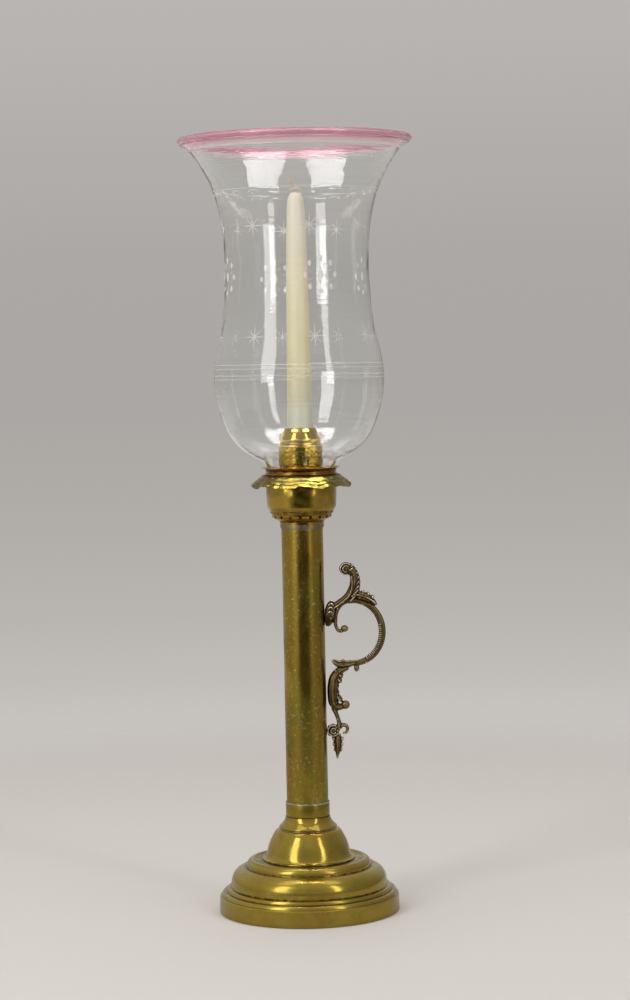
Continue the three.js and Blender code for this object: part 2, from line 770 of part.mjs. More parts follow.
// Rosette soldered to the column, the curl beside it and the hanging husk
function rosetteAndHusk() {
  const petalCount = 6;
  const petals = Array.from({ length: petalCount }, (_, i) => {
    const angle = 2 * Math.PI * i / petalCount;
    return lobe([5.3 + 3.7 * Math.cos(angle), 3.7 * Math.sin(angle)], [2.4, 3.2, 2.4]);
  });
  const beads = [[6.5, -8.7], [12, -8.2], [7, -13.4], [11.4, -13.2]];
  return [
    ...petals,
    lobe([5.3, 0], [3.4, 4.2, 3.4]),
    bar([[6, 20], [8.6, 13.7], [10.4, 7.6], [10.6, 1]], [2.4, 1.9, 1.8, 2.2], 5),
    bar(arc([14.6, 1.1], [3.3, 3.6], 165, -110, 8), [1.5, 1.6, 1.6, 1.5, 1.2], 8),
    bar([[9.6, -3], [9.2, -10], [8.9, -17], [8.6, -25]], [3.1, 3.7, 2.6, 0.7], 5),
    ...beads.map((place) => lobe(place, [2.1, 2.9, 2.4])),
  ];
}

function makeHandle() {
  const column = new THREE.CylinderGeometry(sleeveBore, sleeveBore, columnLength, smallSides * 2);
  column.rotateX(Math.PI / 2);
  column.translate(-columnRadius, 0, 0);
  const casting = join([...cScroll(), ...finial(), ...palmette(), ...sScroll(), ...rosetteAndHusk()]);
  return cut(casting, [weld(column)]);
}

// Tapered candle, with a hole down the tip for the wick
function makeCandle() {
  const shoulder = candleLength - candleShoulderDrop;
  const body = revolve([
    [0, 0], [candleRadius, 0], [candleRadius, candleStraight],
    [THREE.MathUtils.lerp(candleRadius, candleShoulderRadius, 0.6),
      THREE.MathUtils.lerp(candleStraight, shoulder, 0.78)],
    [candleShoulderRadius, shoulder],
    [candleShoulderRadius - 0.9, shoulder + candleShoulderDrop * 0.6],
    [candleTipRadius + 1.4, candleLength - 1.2],
    [candleTipRadius, candleLength],
    [0, candleLength],
  ], holeSides + 4);
  const hole = new THREE.CylinderGeometry(wickRadius + fitGap, wickRadius + fitGap, 2 * wickDepth, 8);
  hole.rotateX(Math.PI / 2);
  hole.translate(0, 0, candleLength);
  return cut(body, [weld(hole)]);
}

// Cotton wick that leaves the candle upright and leans over
function makeWick() {
  const path = new THREE.CatmullRomCurve3([
    [0, fitGap - wickDepth], [0, 1.5], [0, 0.3 * wickHeight], [-0.5 * wickLean, 0.5 * wickHeight],
    [-wickLean, 0.72 * wickHeight], [-wickLean, wickHeight],
  ].map(([x, z]) => new THREE.Vector3(x, 0, z)));
  const wickSides = 5;
  const wickSteps = 9;
  const across = new THREE.Vector3(0, 1, 0);
  return loft(path.getPoints(wickSteps).map((point, i) => {
    const outward = path.getTangent(i / wickSteps).cross(across).normalize();
    return Array.from({ length: wickSides }, (_, k) => {
      const angle = 2 * Math.PI * k / wickSides;
      return point.clone()
        .addScaledVector(outward, wickRadius * Math.cos(angle))
        .addScaledVector(across, wickRadius * Math.sin(angle));
    });
  }));
}

const lamp = new THREE.Group();

function place(name, geometry, finish, height, parent = lamp) {
  const mesh = new THREE.Mesh(geometry, new THREE.MeshStandardMaterial(finish));
  mesh.name = name;
  mesh.position.z = height;
  parent.add(mesh);
  return mesh;
}

place('foot', makeFoot(), brass, 0);
place('base_plate', makeBasePlate(), brass, 0);
place('ballast', makeBallast(), castIron, plateThickness);
place('bell', makeBell(), brass, platformHeight);
place('washer', makeWasher(), steel, platformHeight - footWall - washerThickness);
place('nut', makeNut(), steel, platformHeight - footWall - washerThickness - nutHeight / 2);

const column = new THREE.Group();
column.position.z = columnFoot;
lamp.add(column);
place('collar', makeCollar(), brass, 0, column);
place('column_tube', makeColumn(), brass, 0, column);
place('column_plug', makePlug(), brass, 0, column);
place('handle', makeHandle(), darkBrass, rosetteHeight, column).position.x = columnRadius;

place('bayonet_pin_front', makePin(sides[0]), brass, pinHeight);
place('bayonet_pin_back', makePin(sides[1]), brass, pinHeight);

const gallery = new THREE.Group();
gallery.position.z = galleryFoot;
lamp.add(gallery);
const skirtTop = crownHeight + bowlHeight + sheetWall;
const shadeFoot = skirtTop - cupDepth + sheetWall + fitGap;
place('crown', makeCrown(), brass, 0, gallery);
place('bowl', makeBowl(), brass, crownHeight, gallery);
place('drip_skirt', makeDripSkirt(), brass, skirtTop, gallery);
place('shade_cup', makeShadeCup(), copperyBrass, skirtTop, gallery);
place('shade', makeShade(), clearGlass, shadeFoot, gallery);
place('shade_rim', makeShadeRim(), roseGlass, shadeFoot, gallery);

place('spring', makeSpring(), steel, springFoot);
place('follower', makeFollower(), brass, followerFloor);
place('cap', makeCap(), brass, capFoot);

const candle = new THREE.Group();
candle.position.z = followerFloor + sheetWall + fitGap;
lamp.add(candle);
place('candle', makeCandle(), wax, 0, candle);
place('wick', makeWick(), cotton, candleLength, candle);

export default lamp;
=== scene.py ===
import math

import bpy
from mathutils import Matrix, Vector, geometry


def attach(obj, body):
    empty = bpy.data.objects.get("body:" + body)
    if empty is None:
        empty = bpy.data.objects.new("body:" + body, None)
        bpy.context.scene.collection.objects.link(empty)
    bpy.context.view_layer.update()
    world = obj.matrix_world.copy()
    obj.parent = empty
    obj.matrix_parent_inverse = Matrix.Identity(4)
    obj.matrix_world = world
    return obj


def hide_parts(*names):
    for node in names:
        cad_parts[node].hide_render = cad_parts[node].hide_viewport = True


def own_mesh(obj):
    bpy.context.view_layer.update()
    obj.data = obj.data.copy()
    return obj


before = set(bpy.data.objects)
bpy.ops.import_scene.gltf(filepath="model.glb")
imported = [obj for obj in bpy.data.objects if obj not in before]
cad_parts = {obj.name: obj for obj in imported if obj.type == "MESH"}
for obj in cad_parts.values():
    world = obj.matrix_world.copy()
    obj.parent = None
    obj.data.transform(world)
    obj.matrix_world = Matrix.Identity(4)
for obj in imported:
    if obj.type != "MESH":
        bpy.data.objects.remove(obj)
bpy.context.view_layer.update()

# Camera: a long lens a little over two metres in front of the lamp, looking slightly down. It leans
# a little, as the photograph does.
camera_distance = 2.215
camera_height = 0.487
lens_mm = 92.7
look_down = 3.38
look_right = 0.30
lean = 1.145


def rotation(degrees, axis="Z"):
    """A turn about one of the three axes."""
    return Matrix.Rotation(math.radians(degrees), 4, axis)


camera = bpy.data.objects.new("camera", bpy.data.cameras.new("camera"))
bpy.context.scene.collection.objects.link(camera)
bpy.context.scene.camera = camera
camera.data.sensor_width = 36
camera.data.lens = lens_mm
camera.matrix_world = (Matrix.Translation((0, -camera_distance, camera_height))
                       @ rotation(-look_right) @ rotation(90 - look_down, "X") @ rotation(-lean))
bpy.context.scene.view_settings.view_transform = "Standard"

# Studio: a pale grey sweep that the camera sees all round, brighter towards the table. Metal
# reflects it too, but in front it reflects a dim room, which is dark below the camera's level, and
# to the right a darker sweep.


def linear(code):
    """A six-figure sRGB colour as linear light, with full alpha."""
    shares = [int(code[i:i + 2], 16) / 255 for i in (0, 2, 4)]
    return [s / 12.92 if s <= 0.04045 else ((s + 0.055) / 1.055) ** 2.4 for s in shares] + [1]


def add_node(tree, kind, settings=None, links=None, stops=None):
    """Adds a node, sets its properties or sockets, links other sockets, and fills a ramp. A node
    that is given as a link stands for its first output in use."""
    node = tree.nodes.new("ShaderNode" + kind)
    for key, value in (settings or {}).items():
        if isinstance(key, str) and hasattr(node, key):
            setattr(node, key, value)
        else:
            node.inputs[key].default_value = value
    for key, source in (links or {}).items():
        if isinstance(source, bpy.types.Node):
            source = next(output for output in source.outputs if output.enabled)
        tree.links.new(source, node.inputs[key])
    for i, (position, colour) in enumerate(stops or []):
        points = node.color_ramp.elements
        point = points[i] if i < 2 else points.new(position)
        point.position = position
        point.color = colour
    return node


sweep_colours = [(-0.35, "D4D1CD"), (-0.2, "D1CDC9"), (-0.17, "CFCBC8"), (-0.148, "C9C5C1"),
                 (-0.125, "C0BCB8"), (-0.1, "B8B4B0"), (-0.056, "AFABA7"), (-0.02, "ABA7A4"),
                 (0.035, "ACA8A5"), (0.084, "B3AFAC"), (0.13, "B9B5B2"), (0.35, "C4C1BE")]
sweep_reach = 0.35
dark_room = "2E2B28"
dim_room = "ABA8A5"
# Each zone of the room starts and is full at a part of the looking direction's X, Y or Z, and has
# a greatest share
zones = {"front": ("Y", -0.6, -0.92, 1.0), "under_ceiling": ("Z", 0.9, 0.5, 1.0),
         "right": ("X", 0.1, 0.9, 0.45), "below_level": ("Z", 0.12, 0.0, 1.0)}

world = bpy.data.worlds.new("studio")
bpy.context.scene.world = world
world.use_nodes = True
sky = world.node_tree
sky.nodes.clear()
looking = add_node(sky, "SeparateXYZ", links={0: add_node(sky, "TexCoord").outputs["Generated"]})
rise = add_node(sky, "MapRange",
                {"From Min": -sweep_reach, "From Max": sweep_reach}, {"Value": looking.outputs["Z"]})
sweep = add_node(sky, "ValToRGB", links={0: rise},
                 stops=[(0.5 + 0.5 * at / sweep_reach, linear(code)) for at, code in sweep_colours])
within = {zone: add_node(sky, "MapRange", {"From Min": start, "From Max": full, "To Max": most},
                         {"Value": looking.outputs[axis]})
          for zone, (axis, start, full, most) in zones.items()}
# A ray that only glass has bent still counts as seen: it has met no metal, wax or paper
rays = add_node(sky, "LightPath")
met = add_node(sky, "Math", {"operation": "ADD"},
               {0: rays.outputs["Glossy Depth"], 1: rays.outputs["Diffuse Depth"]})
unseen = add_node(sky, "Math", {"operation": "GREATER_THAN", 1: 0.5}, {0: met})
front = add_node(sky, "Math", {"operation": "MULTIPLY"},
                 {0: within["front"], 1: within["under_ceiling"]})
room_share = add_node(sky, "Math", {"operation": "MULTIPLY"}, {0: front, 1: unseen})
right_share = add_node(sky, "Math", {"operation": "MULTIPLY"}, {0: within["right"], 1: unseen})
dimmed = add_node(sky, "Mix", {"data_type": "RGBA", 7: linear(dark_room)}, {0: right_share, 6: sweep})
front_tone = add_node(sky, "Mix", {"data_type": "RGBA", 6: linear(dim_room), 7: linear(dark_room)},
                      {0: within["below_level"]})
room = add_node(sky, "Mix", {"data_type": "RGBA"}, {0: room_share, 6: dimmed, 7: front_tone})
light = add_node(sky, "Background", links={"Color": room})
add_node(sky, "OutputWorld", links={"Surface": light})

# Softboxes: two tall ones in front, the left one twice as wide as the right one, and two that hang
# above and swing outwards. Metal shows a lamp dimmer than it lights. Glass mirrors the cloth behind
# the lamp instead. Places and sizes are in metres, swings in degrees.
cloth_gap = 0.01
hanging = {"size": (0.58, 1.7), "light": 2.3, "in_metal": 0.8, "cloth_width": 0.76, "taper": 0.5}
softboxes = [
    ("left_softbox", {"place": (-1.09, -1.18, 1.06), "size": (0.56, 1.56), "light": 4.9,
                      "in_metal": 2.2, "in_glass": 5.8}),
    ("right_softbox", {"place": (1.09, -1.2, 1.06), "size": (0.27, 1.56), "light": 5.2,
                       "in_metal": 2.1, "in_glass": 5.6}),
    ("left_ceiling_softbox", {**hanging, "place": (-0.51, 0, 1.95), "in_glass": 11.0, "swing": -38}),
    ("right_ceiling_softbox", {**hanging, "place": (0.51, 0, 1.95), "in_glass": 17.0, "swing": 38}),
]


def new_material(name):
    """A material, its tree, emptied, and the object coordinates that its patterns use."""
    material = bpy.data.materials.new(name)
    material.use_nodes = True
    tree = material.node_tree
    tree.nodes.clear()
    return material, tree, add_node(tree, "TexCoord").outputs["Object"]


for name, box in softboxes:
    lamp = bpy.data.lights.new(name, "AREA")
    lamp.shape = "RECTANGLE"
    lamp.size, lamp.size_y = box["size"]
    lamp.energy = box["light"] * math.pi * lamp.size * lamp.size_y
    softbox = bpy.data.objects.new(name, lamp)
    softbox.location = box["place"]
    inwards = Vector((-softbox.location.x, -softbox.location.y, 0)).normalized()
    aim = Vector((0, 0, -1)) if "swing" in box else inwards
    softbox.rotation_euler = aim.to_track_quat("-Z", "Y").to_euler()
    softbox.rotation_euler.z += math.radians(box.get("swing", 0))
    softbox.visible_camera = False
    softbox.visible_transmission = False
    lamp.use_nodes = True
    tree = lamp.node_tree
    tree.nodes.clear()
    rays = add_node(tree, "LightPath")
    shown = add_node(tree, "MapRange", {"To Min": 1.0, "To Max": box["in_metal"] / box["light"]},
                     {"Value": rays.outputs["Glossy Depth"]})
    glow = add_node(tree, "Emission", links={"Strength": shown})
    add_node(tree, "OutputLight", links={"Surface": glow})
    bpy.context.scene.collection.objects.link(softbox)

    # Cloth: it glows for rays that were mirrored and came out of glass, and others pass it
    bpy.ops.mesh.primitive_plane_add(size=1, rotation=softbox.rotation_euler,
                                     location=softbox.location - cloth_gap * aim)
    cloth = bpy.context.object
    cloth.name = name + "_cloth"
    cloth.scale = (box.get("cloth_width", lamp.size), lamp.size_y, 1)
    for corner in cloth.data.vertices:
        corner.co.x *= 1 - 2 * box.get("taper", 0) * corner.co.y
    shine, tree, _ = new_material(name + "_cloth_glow")
    shine.cycles.emission_sampling = "NONE"
    rays = add_node(tree, "LightPath")
    mirrored = add_node(tree, "Math", {"operation": "MINIMUM", 1: 1.0}, {0: rays.outputs["Glossy Depth"]})
    in_glass = add_node(tree, "Math", {"operation": "MULTIPLY"},
                        {0: mirrored, 1: rays.outputs["Is Transmission Ray"]})
    passed = add_node(tree, "BsdfTransparent")
    glow = add_node(tree, "Emission", {"Strength": box["in_glass"]})
    mixed = add_node(tree, "MixShader", links={0: in_glass, 1: passed, 2: glow})
    add_node(tree, "OutputMaterial", links={"Surface": mixed})
    cloth.data.materials.append(shine)

# Table: a sheet of pale grey paper that fades into the sweep a good metre from the lamp, so that
# no edge shows from any side and the lamp still throws its shadow on it.
paper_colour = "D4D0CC"
paper_fade_start = 0.75
paper_fade_end = 1.3

bpy.ops.mesh.primitive_circle_add(vertices=96, radius=paper_fade_end, fill_type="NGON")
table = bpy.context.object
table.name = "table"
paper, tree, spot = new_material("pale_paper")
reach = add_node(tree, "VectorMath", {"operation": "LENGTH"}, {0: spot})
fade = add_node(tree, "MapRange", {"interpolation_type": "SMOOTHSTEP", "From Min": paper_fade_start,
                                   "From Max": paper_fade_end}, {"Value": reach})
sheet = add_node(tree, "BsdfPrincipled",
                 {"Base Color": linear(paper_colour), "Roughness": 0.9, "Specular IOR Level": 0.2})
clear = add_node(tree, "BsdfTransparent")
mixed = add_node(tree, "MixShader", links={0: fade, 1: sheet, 2: clear})
add_node(tree, "OutputMaterial", links={"Surface": mixed})
table.data.materials.append(paper)

# Foot: three rounded tiers on a plain skirt, spun from one sheet of brass, with two reeds above
# the skirt and a dished platform that the bell is soldered to.
sharp_edge = math.radians(32)


def spin_up(steps, angle):
    """Spins the drawn outline about the lamp's axis into a closed skin that faces outwards."""
    bpy.ops.mesh.select_all(action="SELECT")
    bpy.ops.mesh.spin(steps=steps, angle=angle, center=(0, 0, 0), axis=(0, 0, 1))
    bpy.ops.mesh.select_all(action="SELECT")
    bpy.ops.mesh.remove_doubles(threshold=1e-6)
    bpy.ops.mesh.normals_make_consistent(inside=False)
    bpy.ops.object.mode_set(mode="OBJECT")


def turn(name, outline, steps=128):
    """Turns a closed outline of (radius, height) in mm about the lamp's axis, as a spinner does."""
    bpy.ops.mesh.primitive_plane_add(size=0.001)
    piece = bpy.context.object
    piece.name = name
    piece.data.name = name
    bpy.ops.object.mode_set(mode="EDIT")
    bpy.ops.mesh.merge(type="CENTER")
    before = (0, 0)
    for i, (radius, height) in enumerate([*outline, outline[0]]):
        step = ((radius - before[0]) / 1000, 0, (height - before[1]) / 1000)
        if i == 0:
            bpy.ops.transform.translate(value=step)
        else:
            bpy.ops.mesh.extrude_region_move(TRANSFORM_OT_translate={"value": step})
        before = (radius, height)
    spin_up(steps, 2 * math.pi)
    bpy.ops.object.shade_smooth_by_angle(angle=sharp_edge)
    return piece


def arc(centre, size, first, last, steps):
    """Points of an elliptical arc, with its angles in degrees from straight outwards."""
    angles = [math.radians(first + (last - first) * i / steps) for i in range(steps + 1)]
    return [(centre[0] + size[0] * math.cos(a), centre[1] + size[1] * math.sin(a)) for a in angles]


def smooth_line(points, steps=5):
    """A smooth line of points through the given ones."""
    line = []
    for i in range(len(points) - 1):
        before, start, end, after = (
            Vector(points[min(max(k, 0), len(points) - 1)]).to_3d() for k in range(i - 1, i + 3))
        line += geometry.interpolate_bezier(
            start, start + (end - before) / 6, end - (after - start) / 6, end, steps + 1)[:-1]
    return [(point.x, point.y) for point in line] + [points[-1]]


def brass(name, clean, dull, tarnish=0.5, stain=0.2, roughness=0.2, speckle=0.3, speck_mm=1.1,
          speck_tone="3C321A", dents=0.1, dent_mm=36, drawn=1.0, lacquer=0.0, bands=()):
    """Brass sheet, polished long ago: a soft gloss with fine turning rings, dull clouds of tarnish
    which drawing stretches upwards, olive and orange stains, small specks and shallow dents. Each of
    the bands is a broken ring of solder, of painted shade in a corner or under an overhang, or of a
    painted highlight along a bead: its lower and upper edge in mm, its colour."""
    material, tree, spot = new_material(name)
    flat = add_node(tree, "VectorMath", {"operation": "MULTIPLY", 1: (1, 1, 0)}, {0: spot})
    radius = add_node(tree, "VectorMath", {"operation": "LENGTH"}, {0: flat})
    height = add_node(tree, "SeparateXYZ", links={0: spot}).outputs["Z"]
    across = add_node(tree, "CombineXYZ", links={0: radius, 2: height})
    # Turning rings about 0.8 mm apart, coarser than the real ones so that they show
    rings = add_node(tree, "TexNoise", {"Scale": 1200, "Detail": 2}, {0: across})
    # Clouds of tarnish about 25 mm across
    stretch = add_node(tree, "Mapping", {"Scale": (1, 1, 1 / drawn)}, {0: spot})
    clouds = add_node(tree, "TexNoise",
                      {"Scale": 40, "Detail": 6, "Roughness": 0.65, "Distortion": 0.6}, {0: stretch})
    cloud_share = add_node(tree, "MapRange", {"From Min": 0.42, "From Max": 0.68, "To Max": tarnish},
                           {"Value": clouds})
    # Stains about 20 mm across: olive where the metal browned, orange where old lacquer did
    stains = add_node(tree, "TexNoise", {"Scale": 46, "Detail": 4}, {0: stretch})
    stain_side = add_node(tree, "MapRange", {"From Min": 0.4, "From Max": 0.6}, {"Value": stains})
    stain_tone = add_node(tree, "Mix", {"data_type": "RGBA", 6: linear("8C9238"), 7: linear("AE8638")},
                          {0: stain_side})
    # Specks of dirt or of lost lacquer, one to three millimetres across
    specks = add_node(tree, "TexNoise", {"Scale": 1000 / speck_mm, "Detail": 3, "Roughness": 0.7},
                      {0: spot})
    speck_share = add_node(tree, "MapRange", {"From Min": 0.59, "From Max": 0.68, "To Max": speckle},
                           {"Value": specks})
    toned = add_node(tree, "Mix", {"data_type": "RGBA", 6: linear(clean), 7: linear(dull)},
                     {0: cloud_share})
    stained = add_node(tree, "Mix", {"data_type": "RGBA", 0: stain}, {6: toned, 7: stain_tone})
    colour = add_node(tree, "Mix", {"data_type": "RGBA", 7: linear(speck_tone)},
                      {0: speck_share, 6: stained})
    gloss = add_node(tree, "Math", {"operation": "MULTIPLY_ADD", 1: 0.2, 2: roughness}, {0: cloud_share})
    # The bands break up in patches of 4 mm
    patches = add_node(tree, "TexNoise", {"Scale": 260, "Detail": 4}, {0: spot})
    broken = add_node(tree, "MapRange", {"From Min": 0.3, "From Max": 0.62}, {"Value": patches})
    for low, high, tone in bands:
        share = broken
        for edge, fade in ((low, 0.5), (high, -0.5)):
            within = add_node(tree, "MapRange", {"From Min": edge / 1000, "From Max": (edge + fade) / 1000},
                              {"Value": height})
            share = add_node(tree, "Math", {"operation": "MULTIPLY"}, {0: share, 1: within})
        colour = add_node(tree, "Mix", {"data_type": "RGBA", 7: linear(tone)}, {0: share, 6: colour})
        gloss = add_node(tree, "Math", {"operation": "MULTIPLY_ADD", 1: 0.25}, {0: share, 2: gloss})
    dented = add_node(tree, "TexNoise", {"Scale": 1000 / dent_mm, "Detail": 1}, {0: spot})
    dent = add_node(tree, "Bump", {"Strength": dents, "Distance": dent_mm / 9000}, {"Height": dented})
    ring = add_node(tree, "Bump", {"Strength": 0.12, "Distance": 0.00004},
                    {"Height": rings, "Normal": dent})
    metal = add_node(tree, "BsdfPrincipled",
                     {"Metallic": 1.0, "Coat Weight": lacquer, "Coat Roughness": 0.0},
                     {"Base Color": colour, "Roughness": gloss, "Normal": ring, "Coat Normal": dent})
    add_node(tree, "OutputMaterial", links={"Surface": metal})
    return material


foot_radius = 78.0
reeds = []
for start, end in (((76.0, 15.2), (71.8, 18.2)), ((71.5, 18.4), (68.1, 21.4))):
    middle = ((start[0] + end[0]) / 2 + 0.9, (start[1] + end[1]) / 2 + 1.0)
    reeds += [(start[0] - 0.2, start[1] - 0.25), *smooth_line([start, middle, end], 4)]
foot_outside = [
    (77.2, 0), (77.8, 0.3), (foot_radius, 1.0), (77.95, 4), (77.8, 9.5), (77.5, 13.9), (76.7, 14.9),
    *reeds,
    (67.65, 21.6), (67.7, 22.2),
    *smooth_line([(67.6, 23.2), (67.3, 27.4), (66.1, 31.8), (63.9, 35.0), (60.9, 37.3), (57.7, 38.6),
                  (54.9, 39.0)], 4),
    (54.3, 38.9), (54.1, 39.4),
    *smooth_line([(54.1, 40.2), (53.7, 42.2), (52.5, 44.1), (50.6, 45.5), (48.9, 45.9), (47.8, 45.6),
                  (47.1, 45.0)], 3),
]
foot_inside = [(4.3, 45.0), (4.3, 43.2), (46.5, 43.2), (51.5, 42.0), (52.4, 38.0), (54.5, 37.0),
               (61.0, 33.5), (65.0, 26.0), (65.2, 22.2), (75.0, 13.2), (75.0, 0)]
foot = turn("spun_foot", foot_outside + foot_inside)
# Painted shade: dark broken lines in the crevices under the foot's tiers, at the bell's foot and at the
# ferrule's foot, and a lighter one on the platform under the bell's flange
crevice_shade = "2E2410"
foot.data.materials.append(brass(
    "foot_spun_brass", "B9A145", "94792C", tarnish=0.6, roughness=0.16, speckle=0.25, dents=0.05,
    lacquer=0.2, bands=[(17.9, 18.9, crevice_shade), (21.2, 22.6, crevice_shade),
                        (38.6, 40.0, crevice_shade), (44.6, 45.5, "6E5A2C")]))
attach(foot, "stand")
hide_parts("foot")

# Closing plate: a thin disc let into the foot's rim, and behind it the iron ring that loads the
# foot, with the washer and nut that clamp the whole stand. Only the plate is ever seen.
plate = turn("closing_plate", [(0, 0), (73.8, 0), (74.6, 0.3), (74.7, 0.9), (74.2, 1.2), (0, 1.2)])
plate.data.materials.append(brass("plate_dull_brass", "A28A3C", "6E5A24", tarnish=0.9, roughness=0.4,
                                  speckle=0.5, dents=0.03))
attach(plate, "stand")
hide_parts("base_plate")


def plain_metal(name, light_tone, dark_tone, roughness, grain_mm):
    """Bare workshop metal: two close tones in grains of the given size, with a matching bump."""
    material, tree, spot = new_material(name)
    grain = add_node(tree, "TexNoise", {"Scale": 1000 / grain_mm, "Detail": 4}, {0: spot})
    tone = add_node(tree, "Mix", {"data_type": "RGBA", 6: linear(light_tone), 7: linear(dark_tone)},
                    {0: grain})
    relief = add_node(tree, "Bump", {"Strength": 0.4, "Distance": grain_mm / 10000}, {"Height": grain})
    metal = add_node(tree, "BsdfPrincipled", {"Metallic": 1.0, "Roughness": roughness},
                     {"Base Color": tone, "Normal": relief})
    add_node(tree, "OutputMaterial", links={"Surface": metal})
    return material


def coat(node_name, material):
    """Puts a material on every slot of a CAD node that stays as it is."""
    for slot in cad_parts[node_name].material_slots:
        slot.material = material


sand_cast_iron = plain_metal("sand_cast_iron", "5A5856", "2E2C2B", 0.7, 1.5)
bright_steel = plain_metal("drawn_steel", "A9ABAE", "7C7E80", 0.3, 0.4)
coat("ballast", sand_cast_iron)
coat("washer", bright_steel)
coat("nut", bright_steel)

# Bell: a second spun shell, soldered to the platform by its turned-out flange, with a pinched
# groove where it narrows to the column's ferrule.
bell_outside = [
    (40.0, 45.1), (40.2, 45.6),
    *smooth_line([(39.9, 46.3), (38.4, 46.9), (37.2, 48.2), (36.3, 50.8), (35.6, 53.6), (34.7, 56.8),
                  (33.6, 60.0), (31.9, 63.6), (30.2, 66.8), (28.7, 69.2), (27.5, 70.5), (26.3, 71.1)], 4),
    (25.0, 71.3), (24.6, 71.7), (24.8, 72.2),
    *smooth_line([(25.3, 72.7), (25.1, 73.6), (23.8, 74.9), (22.0, 76.6), (20.6, 78.6), (19.7, 80.6),
                  (19.3, 82.4)], 3),
]
bell_inside = [(4.3, 82.4), (4.3, 80.9), (17.5, 80.9), (22.8, 69.0), (28.5, 60.0), (31.5, 53.0),
               (35.0, 46.5), (37.0, 45.1)]
bell = turn("spun_bell", bell_outside + bell_inside)
# Painted shade: a dark broken ring at the bell's foot, where its flange meets the platform
bell.data.materials.append(brass(
    "bell_spun_brass", "B9A044", "8C6F2C", tarnish=0.55, roughness=0.1, speckle=0.2, lacquer=0.2,
    bands=[(45.0, 46.4, crevice_shade), (71.0, 72.6, "B9A98E")]))
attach(bell, "stand")
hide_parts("bell")

# Ferrule: a short sleeve round the column's foot, with a rolled upper edge where a line of pale
# solder shows.
ferrule = turn("ferrule", [
    (18.3, 82.5), (18.7, 82.5), (19.0, 82.9), (19.0, 93.6), (18.9, 94.0), (19.05, 94.35), (19.0, 94.8),
    (18.6, 95.0), (18.3, 94.7)])
# Painted shade: a dark broken ring at the ferrule's foot, in the corner where it meets the bell
ferrule.data.materials.append(brass(
    "ferrule_brass", "AE963E", "846C2A", dents=0.03,
    bands=[(93.7, 96.0, "C9C8C0"), (82.0, 83.4, crevice_shade)]))
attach(ferrule, "stand")
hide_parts("collar")

# Column: a plain drawn brass tube, duller and more freckled than the foot. The candle and its
# spring run inside it, and two rivets near its top hold the cap's bayonet slots.
column_radius = 18.0
column = turn("drawn_column", [(17.0, 82.5), (column_radius, 82.5), (column_radius, 402.0),
                               (17.8, 402.3), (17.0, 402.3)], 96)
# Painted shade: the column is darkened where the cap's sleeve covers it, so that it shows dark through the
# slots; the grey ring lower down is solder
column.data.materials.append(brass(
    "column_drawn_brass", "AA9038", "66521A", tarnish=1.0, stain=0.32, roughness=0.18, speckle=0.8,
    speck_mm=2.4, speck_tone="D2C8A0", dents=0.14, drawn=3.0,
    bands=[(331.0, 333.4, "7A776C"), (386.0, 402.0, "40382A")]))
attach(column, "stand")
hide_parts("column_tube")
inner_brass = brass("inner_turned_brass", "B39C4A", "7F6A30", tarnish=0.6, roughness=0.35, dents=0.02)
for inner_node in ("column_plug", "follower", "bayonet_pin_front", "bayonet_pin_back"):
    coat(inner_node, inner_brass)

# Spring: one steel wire wound in 20 turns, between the plug and the follower. Its end turns lie
# flat.
spring_foot, spring_top = 92.83, 365.87
wire_radius = 0.7
coil_radius = 14.8
spring_turns, flat_turns = 20, 0.75
turn_steps = 24
spring_length = spring_top - spring_foot
wire = bpy.data.curves.new("compression_spring", "CURVE")
wire.dimensions = "3D"
wire.bevel_depth = wire_radius / 1000
wire.bevel_resolution = 1
wire.use_fill_caps = True
route = wire.splines.new("POLY")
route.points.add(spring_turns * turn_steps)
for i, point in enumerate(route.points):
    angle = 2 * math.pi * i / turn_steps
    climb = (i / turn_steps - flat_turns) / (spring_turns - 2 * flat_turns)
    height = spring_foot + wire_radius
    height += min(max(climb, 0), 1) * (spring_length - 2 * wire_radius)
    point.co = (coil_radius / 1000 * math.cos(angle), coil_radius / 1000 * math.sin(angle),
                height / 1000, 1)
spring = bpy.data.objects.new("compression_spring", wire)
bpy.context.scene.collection.objects.link(spring)


def select(*pieces):
    """Selects these pieces and nothing else, with the first one active."""
    bpy.ops.object.select_all(action="DESELECT")
    for piece in pieces:
        piece.select_set(True)
    bpy.context.view_layer.objects.active = pieces[0]


select(spring)
bpy.ops.object.convert(target="MESH")
bpy.ops.object.shade_smooth_by_angle(angle=math.radians(60))
spring.data.materials.append(bright_steel)
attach(spring, "stand")
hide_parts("spring")
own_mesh(spring)

# Gallery: a pierced crown soldered to the column, the bowl that stands on it, and the drip skirt
# round the bowl's rim. Air reaches the flame through the crown's holes.
crown_outside = [
    (18.9, 333.0), (18.95, 338.2), (19.7, 338.6),
    *smooth_line([(20.6, 339.4), (23.3, 340.6), (25.0, 341.6), (25.7, 343.0), (25.9, 344.9)], 3)]
crown_inside = [(25.1, 344.9), (24.9, 343.4), (24.2, 342.4), (22.8, 341.6), (20.2, 340.5),
                (18.3, 339.2), (18.3, 333.0)]
crown = turn("pierced_crown", crown_outside + crown_inside, 108)

vent_count = 18
vent_radius = 1.35
vent_place = (0, -25.4, 342.7)
first_vent = 17
punch_length = 7


def repeat_round(piece, count, first_angle):
    """Repeats a piece evenly round the lamp's axis as one object, from an angle in degrees."""
    copies = [bpy.data.objects.new(piece.name, piece.data.copy()) for _ in range(1, count)]
    for i, copy in enumerate(copies, 1):
        copy.data.transform(rotation(first_angle + 360 * i / count))
        bpy.context.scene.collection.objects.link(copy)
    piece.data.transform(rotation(first_angle))
    select(piece, *copies)
    bpy.ops.object.join()


def subtract(piece, tool):
    """Cuts a tool's shape out of a piece and throws the tool away."""
    select(piece)
    cut = piece.modifiers.new("cut", "BOOLEAN")
    cut.object = tool
    bpy.ops.object.modifier_apply(modifier=cut.name)
    bpy.data.objects.remove(tool)
    bpy.ops.object.shade_smooth_by_angle(angle=sharp_edge)


